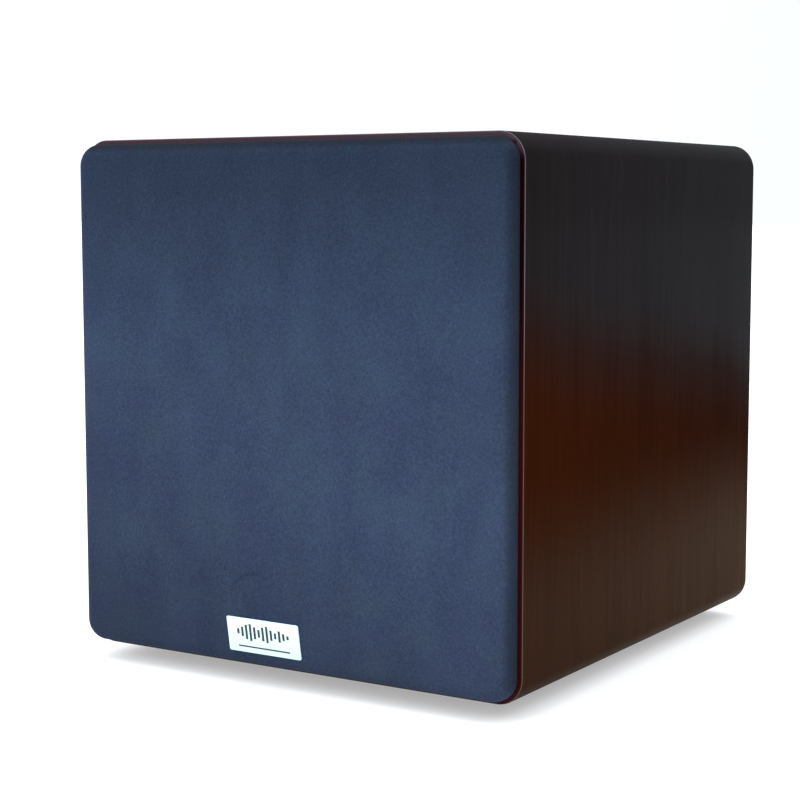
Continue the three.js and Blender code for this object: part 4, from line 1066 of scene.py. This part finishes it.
def mains_details():
    """Plated pins in the inlet, and a raised bar and ring on the rocker for on and off."""
    module = frame["nodes"]["mains_module"]
    module.data.materials.append(MATERIALS["zinc_steel"])
    lo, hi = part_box("mains_module")
    middle = (lo + hi) / 2
    inlet = Vector((middle.x + 12 * MM, hi.y, middle.z + 5.5 * MM))
    half_w, half_h = 9 * MM, 7 * MM  # of the space that holds the pins
    floor, mouth = -16.9 * MM, -2.4 * MM
    for face in module.data.polygons:
        spot = module.matrix_world @ face.center - inlet
        if abs(spot.x) < half_w and abs(spot.z) < half_h and floor < spot.y < mouth:
            face.material_index = 1

    rocker_lo, rocker_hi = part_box("power_rocker")
    axis = Vector(((rocker_lo.x + rocker_hi.x) / 2, PLATE_OUT - 4.6 * MM, middle.z))
    rest = Matrix.Rotation(math.radians(-8), 3, "X")
    face_out, slope = 6 * MM, 0.26
    sunk, raised = -0.1 * MM, 0.12 * MM

    def on_face(x, z, lift):
        """A point on the rocker's dished face, z up from its axis."""
        return axis + rest @ Vector((x, face_out + slope * abs(z) + lift, z))

    bar = [on_face(x, z, lift) for x in (-0.5 * MM, 0.5 * MM) for lift in (sunk, raised)
           for z in (3.4 * MM, 7.4 * MM)]
    make("rocker_on_mark", bar, BOX_FACES, "black_plastic", "power_rocker", WHITE_PRINT)
    ring_in, ring_out, ring_z = 1.5 * MM, 2.3 * MM, -5.6 * MM
    loops = []
    for r, lift in ((ring_in, sunk), (ring_out, sunk), (ring_out, raised), (ring_in, raised)):
        loops.append([on_face(v.x, v.z, lift) for v in circle(r, 0, 0, ring_z, FINE // 2)])
    make("rocker_off_mark", *skin(loops, closed=True), "black_plastic", "power_rocker", WHITE_PRINT)


def soften_the_frame():
    """Small roundings on the CAD nodes that are seen as they are."""
    for node, width in (
            ("amp_plate", 0.5), ("heatsink", 0.35), ("clip_block", 0.4), ("mains_module", 0.4),
            ("power_rocker", 0.4), ("fuse_drawer", 0.25), ("phase_slider", 0.25), ("grille_frame", 0.5),
            ("back_panel", 0.4), *((f"clip_lever_{i}", 0.5) for i in (1, 2, 3, 4))):
        soften(frame["nodes"][node], width * MM)


# ---- stage
def studio():
    """A pale floor under a white sky, brighter overhead and dimmer to the right of the object."""
    bpy.ops.mesh.primitive_plane_add(size=60)
    floor = bpy.context.object
    floor.name = "floor"
    n = Nodes("floor")
    n.set(Base_Color=rgb(0.72, 0.72, 0.72), Roughness=0.9, Specular_IOR_Level=0.0)
    n.set(Emission_Color=rgb(1.0, 1.0, 1.0), Emission_Strength=0.36)
    floor.data.materials.append(n.material)

    world = bpy.data.worlds.new("sky")
    bpy.context.scene.world = world
    world.use_nodes = True
    tree = world.node_tree
    sky = tree.nodes["Background"]
    sky.inputs["Color"].default_value = rgb(0.97, 1.0, 1.04)
    outwards = tree.nodes.new("ShaderNodeTexCoord").outputs["Generated"]

    def ramp(value, **limits):
        node = tree.nodes.new("ShaderNodeMapRange")
        tree.links.new(value, node.inputs["Value"])
        for name, number in limits.items():
            node.inputs[name.replace("_", " ")].default_value = number
        return node.outputs["Result"]

    # The cosine of the bearing from the bright side.
    along = tree.nodes.new("ShaderNodeVectorMath")
    along.operation = "DOT_PRODUCT"
    bright = math.radians(200)
    along.inputs[1].default_value = (math.cos(bright), math.sin(bright), 0)
    tree.links.new(outwards, along.inputs[0])
    upwards = tree.nodes.new("ShaderNodeSeparateXYZ")
    tree.links.new(outwards, upwards.inputs[0])
    total = tree.nodes.new("ShaderNodeMath")
    level = ramp(along.outputs["Value"], From_Min=-1, To_Min=0.6, To_Max=1.4)
    overhead = ramp(upwards.outputs["Z"], From_Min=0.3, To_Max=1.2)
    tree.links.new(level, total.inputs[0])
    tree.links.new(overhead, total.inputs[1])
    tree.links.new(total.outputs[0], sky.inputs["Strength"])


def area_light(name, place, target, size, power):
    """A rectangular lamp at a place, facing its target."""
    lamp = bpy.data.lights.new(name, "AREA")
    lamp.shape = "RECTANGLE"
    lamp.size, lamp.size_y = size
    lamp.energy = power
    holder = bpy.data.objects.new(name, lamp)
    holder.location = place
    holder.rotation_euler = (Vector(target) - Vector(place)).to_track_quat("-Z", "Y").to_euler()
    bpy.context.scene.collection.objects.link(holder)


def camera():
    """A long lens ahead of the cabinet and well to its right, a little below its top."""
    lens = bpy.data.cameras.new("camera")
    lens.sensor_width = 36
    lens.lens = 82.84
    lens.clip_end = 100
    right, ahead, above = 1.9935, 2.7595, 0.8752  # in heights of the cabinet
    eye = Vector((right * HEIGHT, FRONT - ahead * HEIGHT, SHELL_LO.z + above * HEIGHT))
    yaw, pitch, roll = math.radians(32.414), math.radians(6.073), math.radians(0.055)
    holder = bpy.data.objects.new("camera", lens)
    holder.location = eye
    holder.rotation_euler = Euler((math.pi / 2 - pitch, roll, yaw))
    bpy.context.scene.collection.objects.link(holder)
    bpy.context.scene.camera = holder


paint_the_frame()
soften_the_frame()
cabinet_shell()
front_baffle()
rubber_feet()
grille_cloth()
badge()
driver_basket()
rubber_surround()
paper_cone()
dust_cap()
corrugated_spider()
driver_motor()
tinsel_leads()
reflex_port()
control_knob("volume_knob")
control_knob("crossover_knob")
phono_sockets()
status_lamp()
plate_screws()
mains_details()
studio()
area_light("key", place=(-0.6, -2.6, 1.5), target=(0, 0, 0.2), size=(1.6, 1.2), power=18)
area_light("strip", place=(1.25, -0.83, 1.29), target=(0.2, -0.2, 0.4), size=(0.05, 0.9), power=5)
camera()
bpy.context.scene.view_settings.view_transform = "Standard"
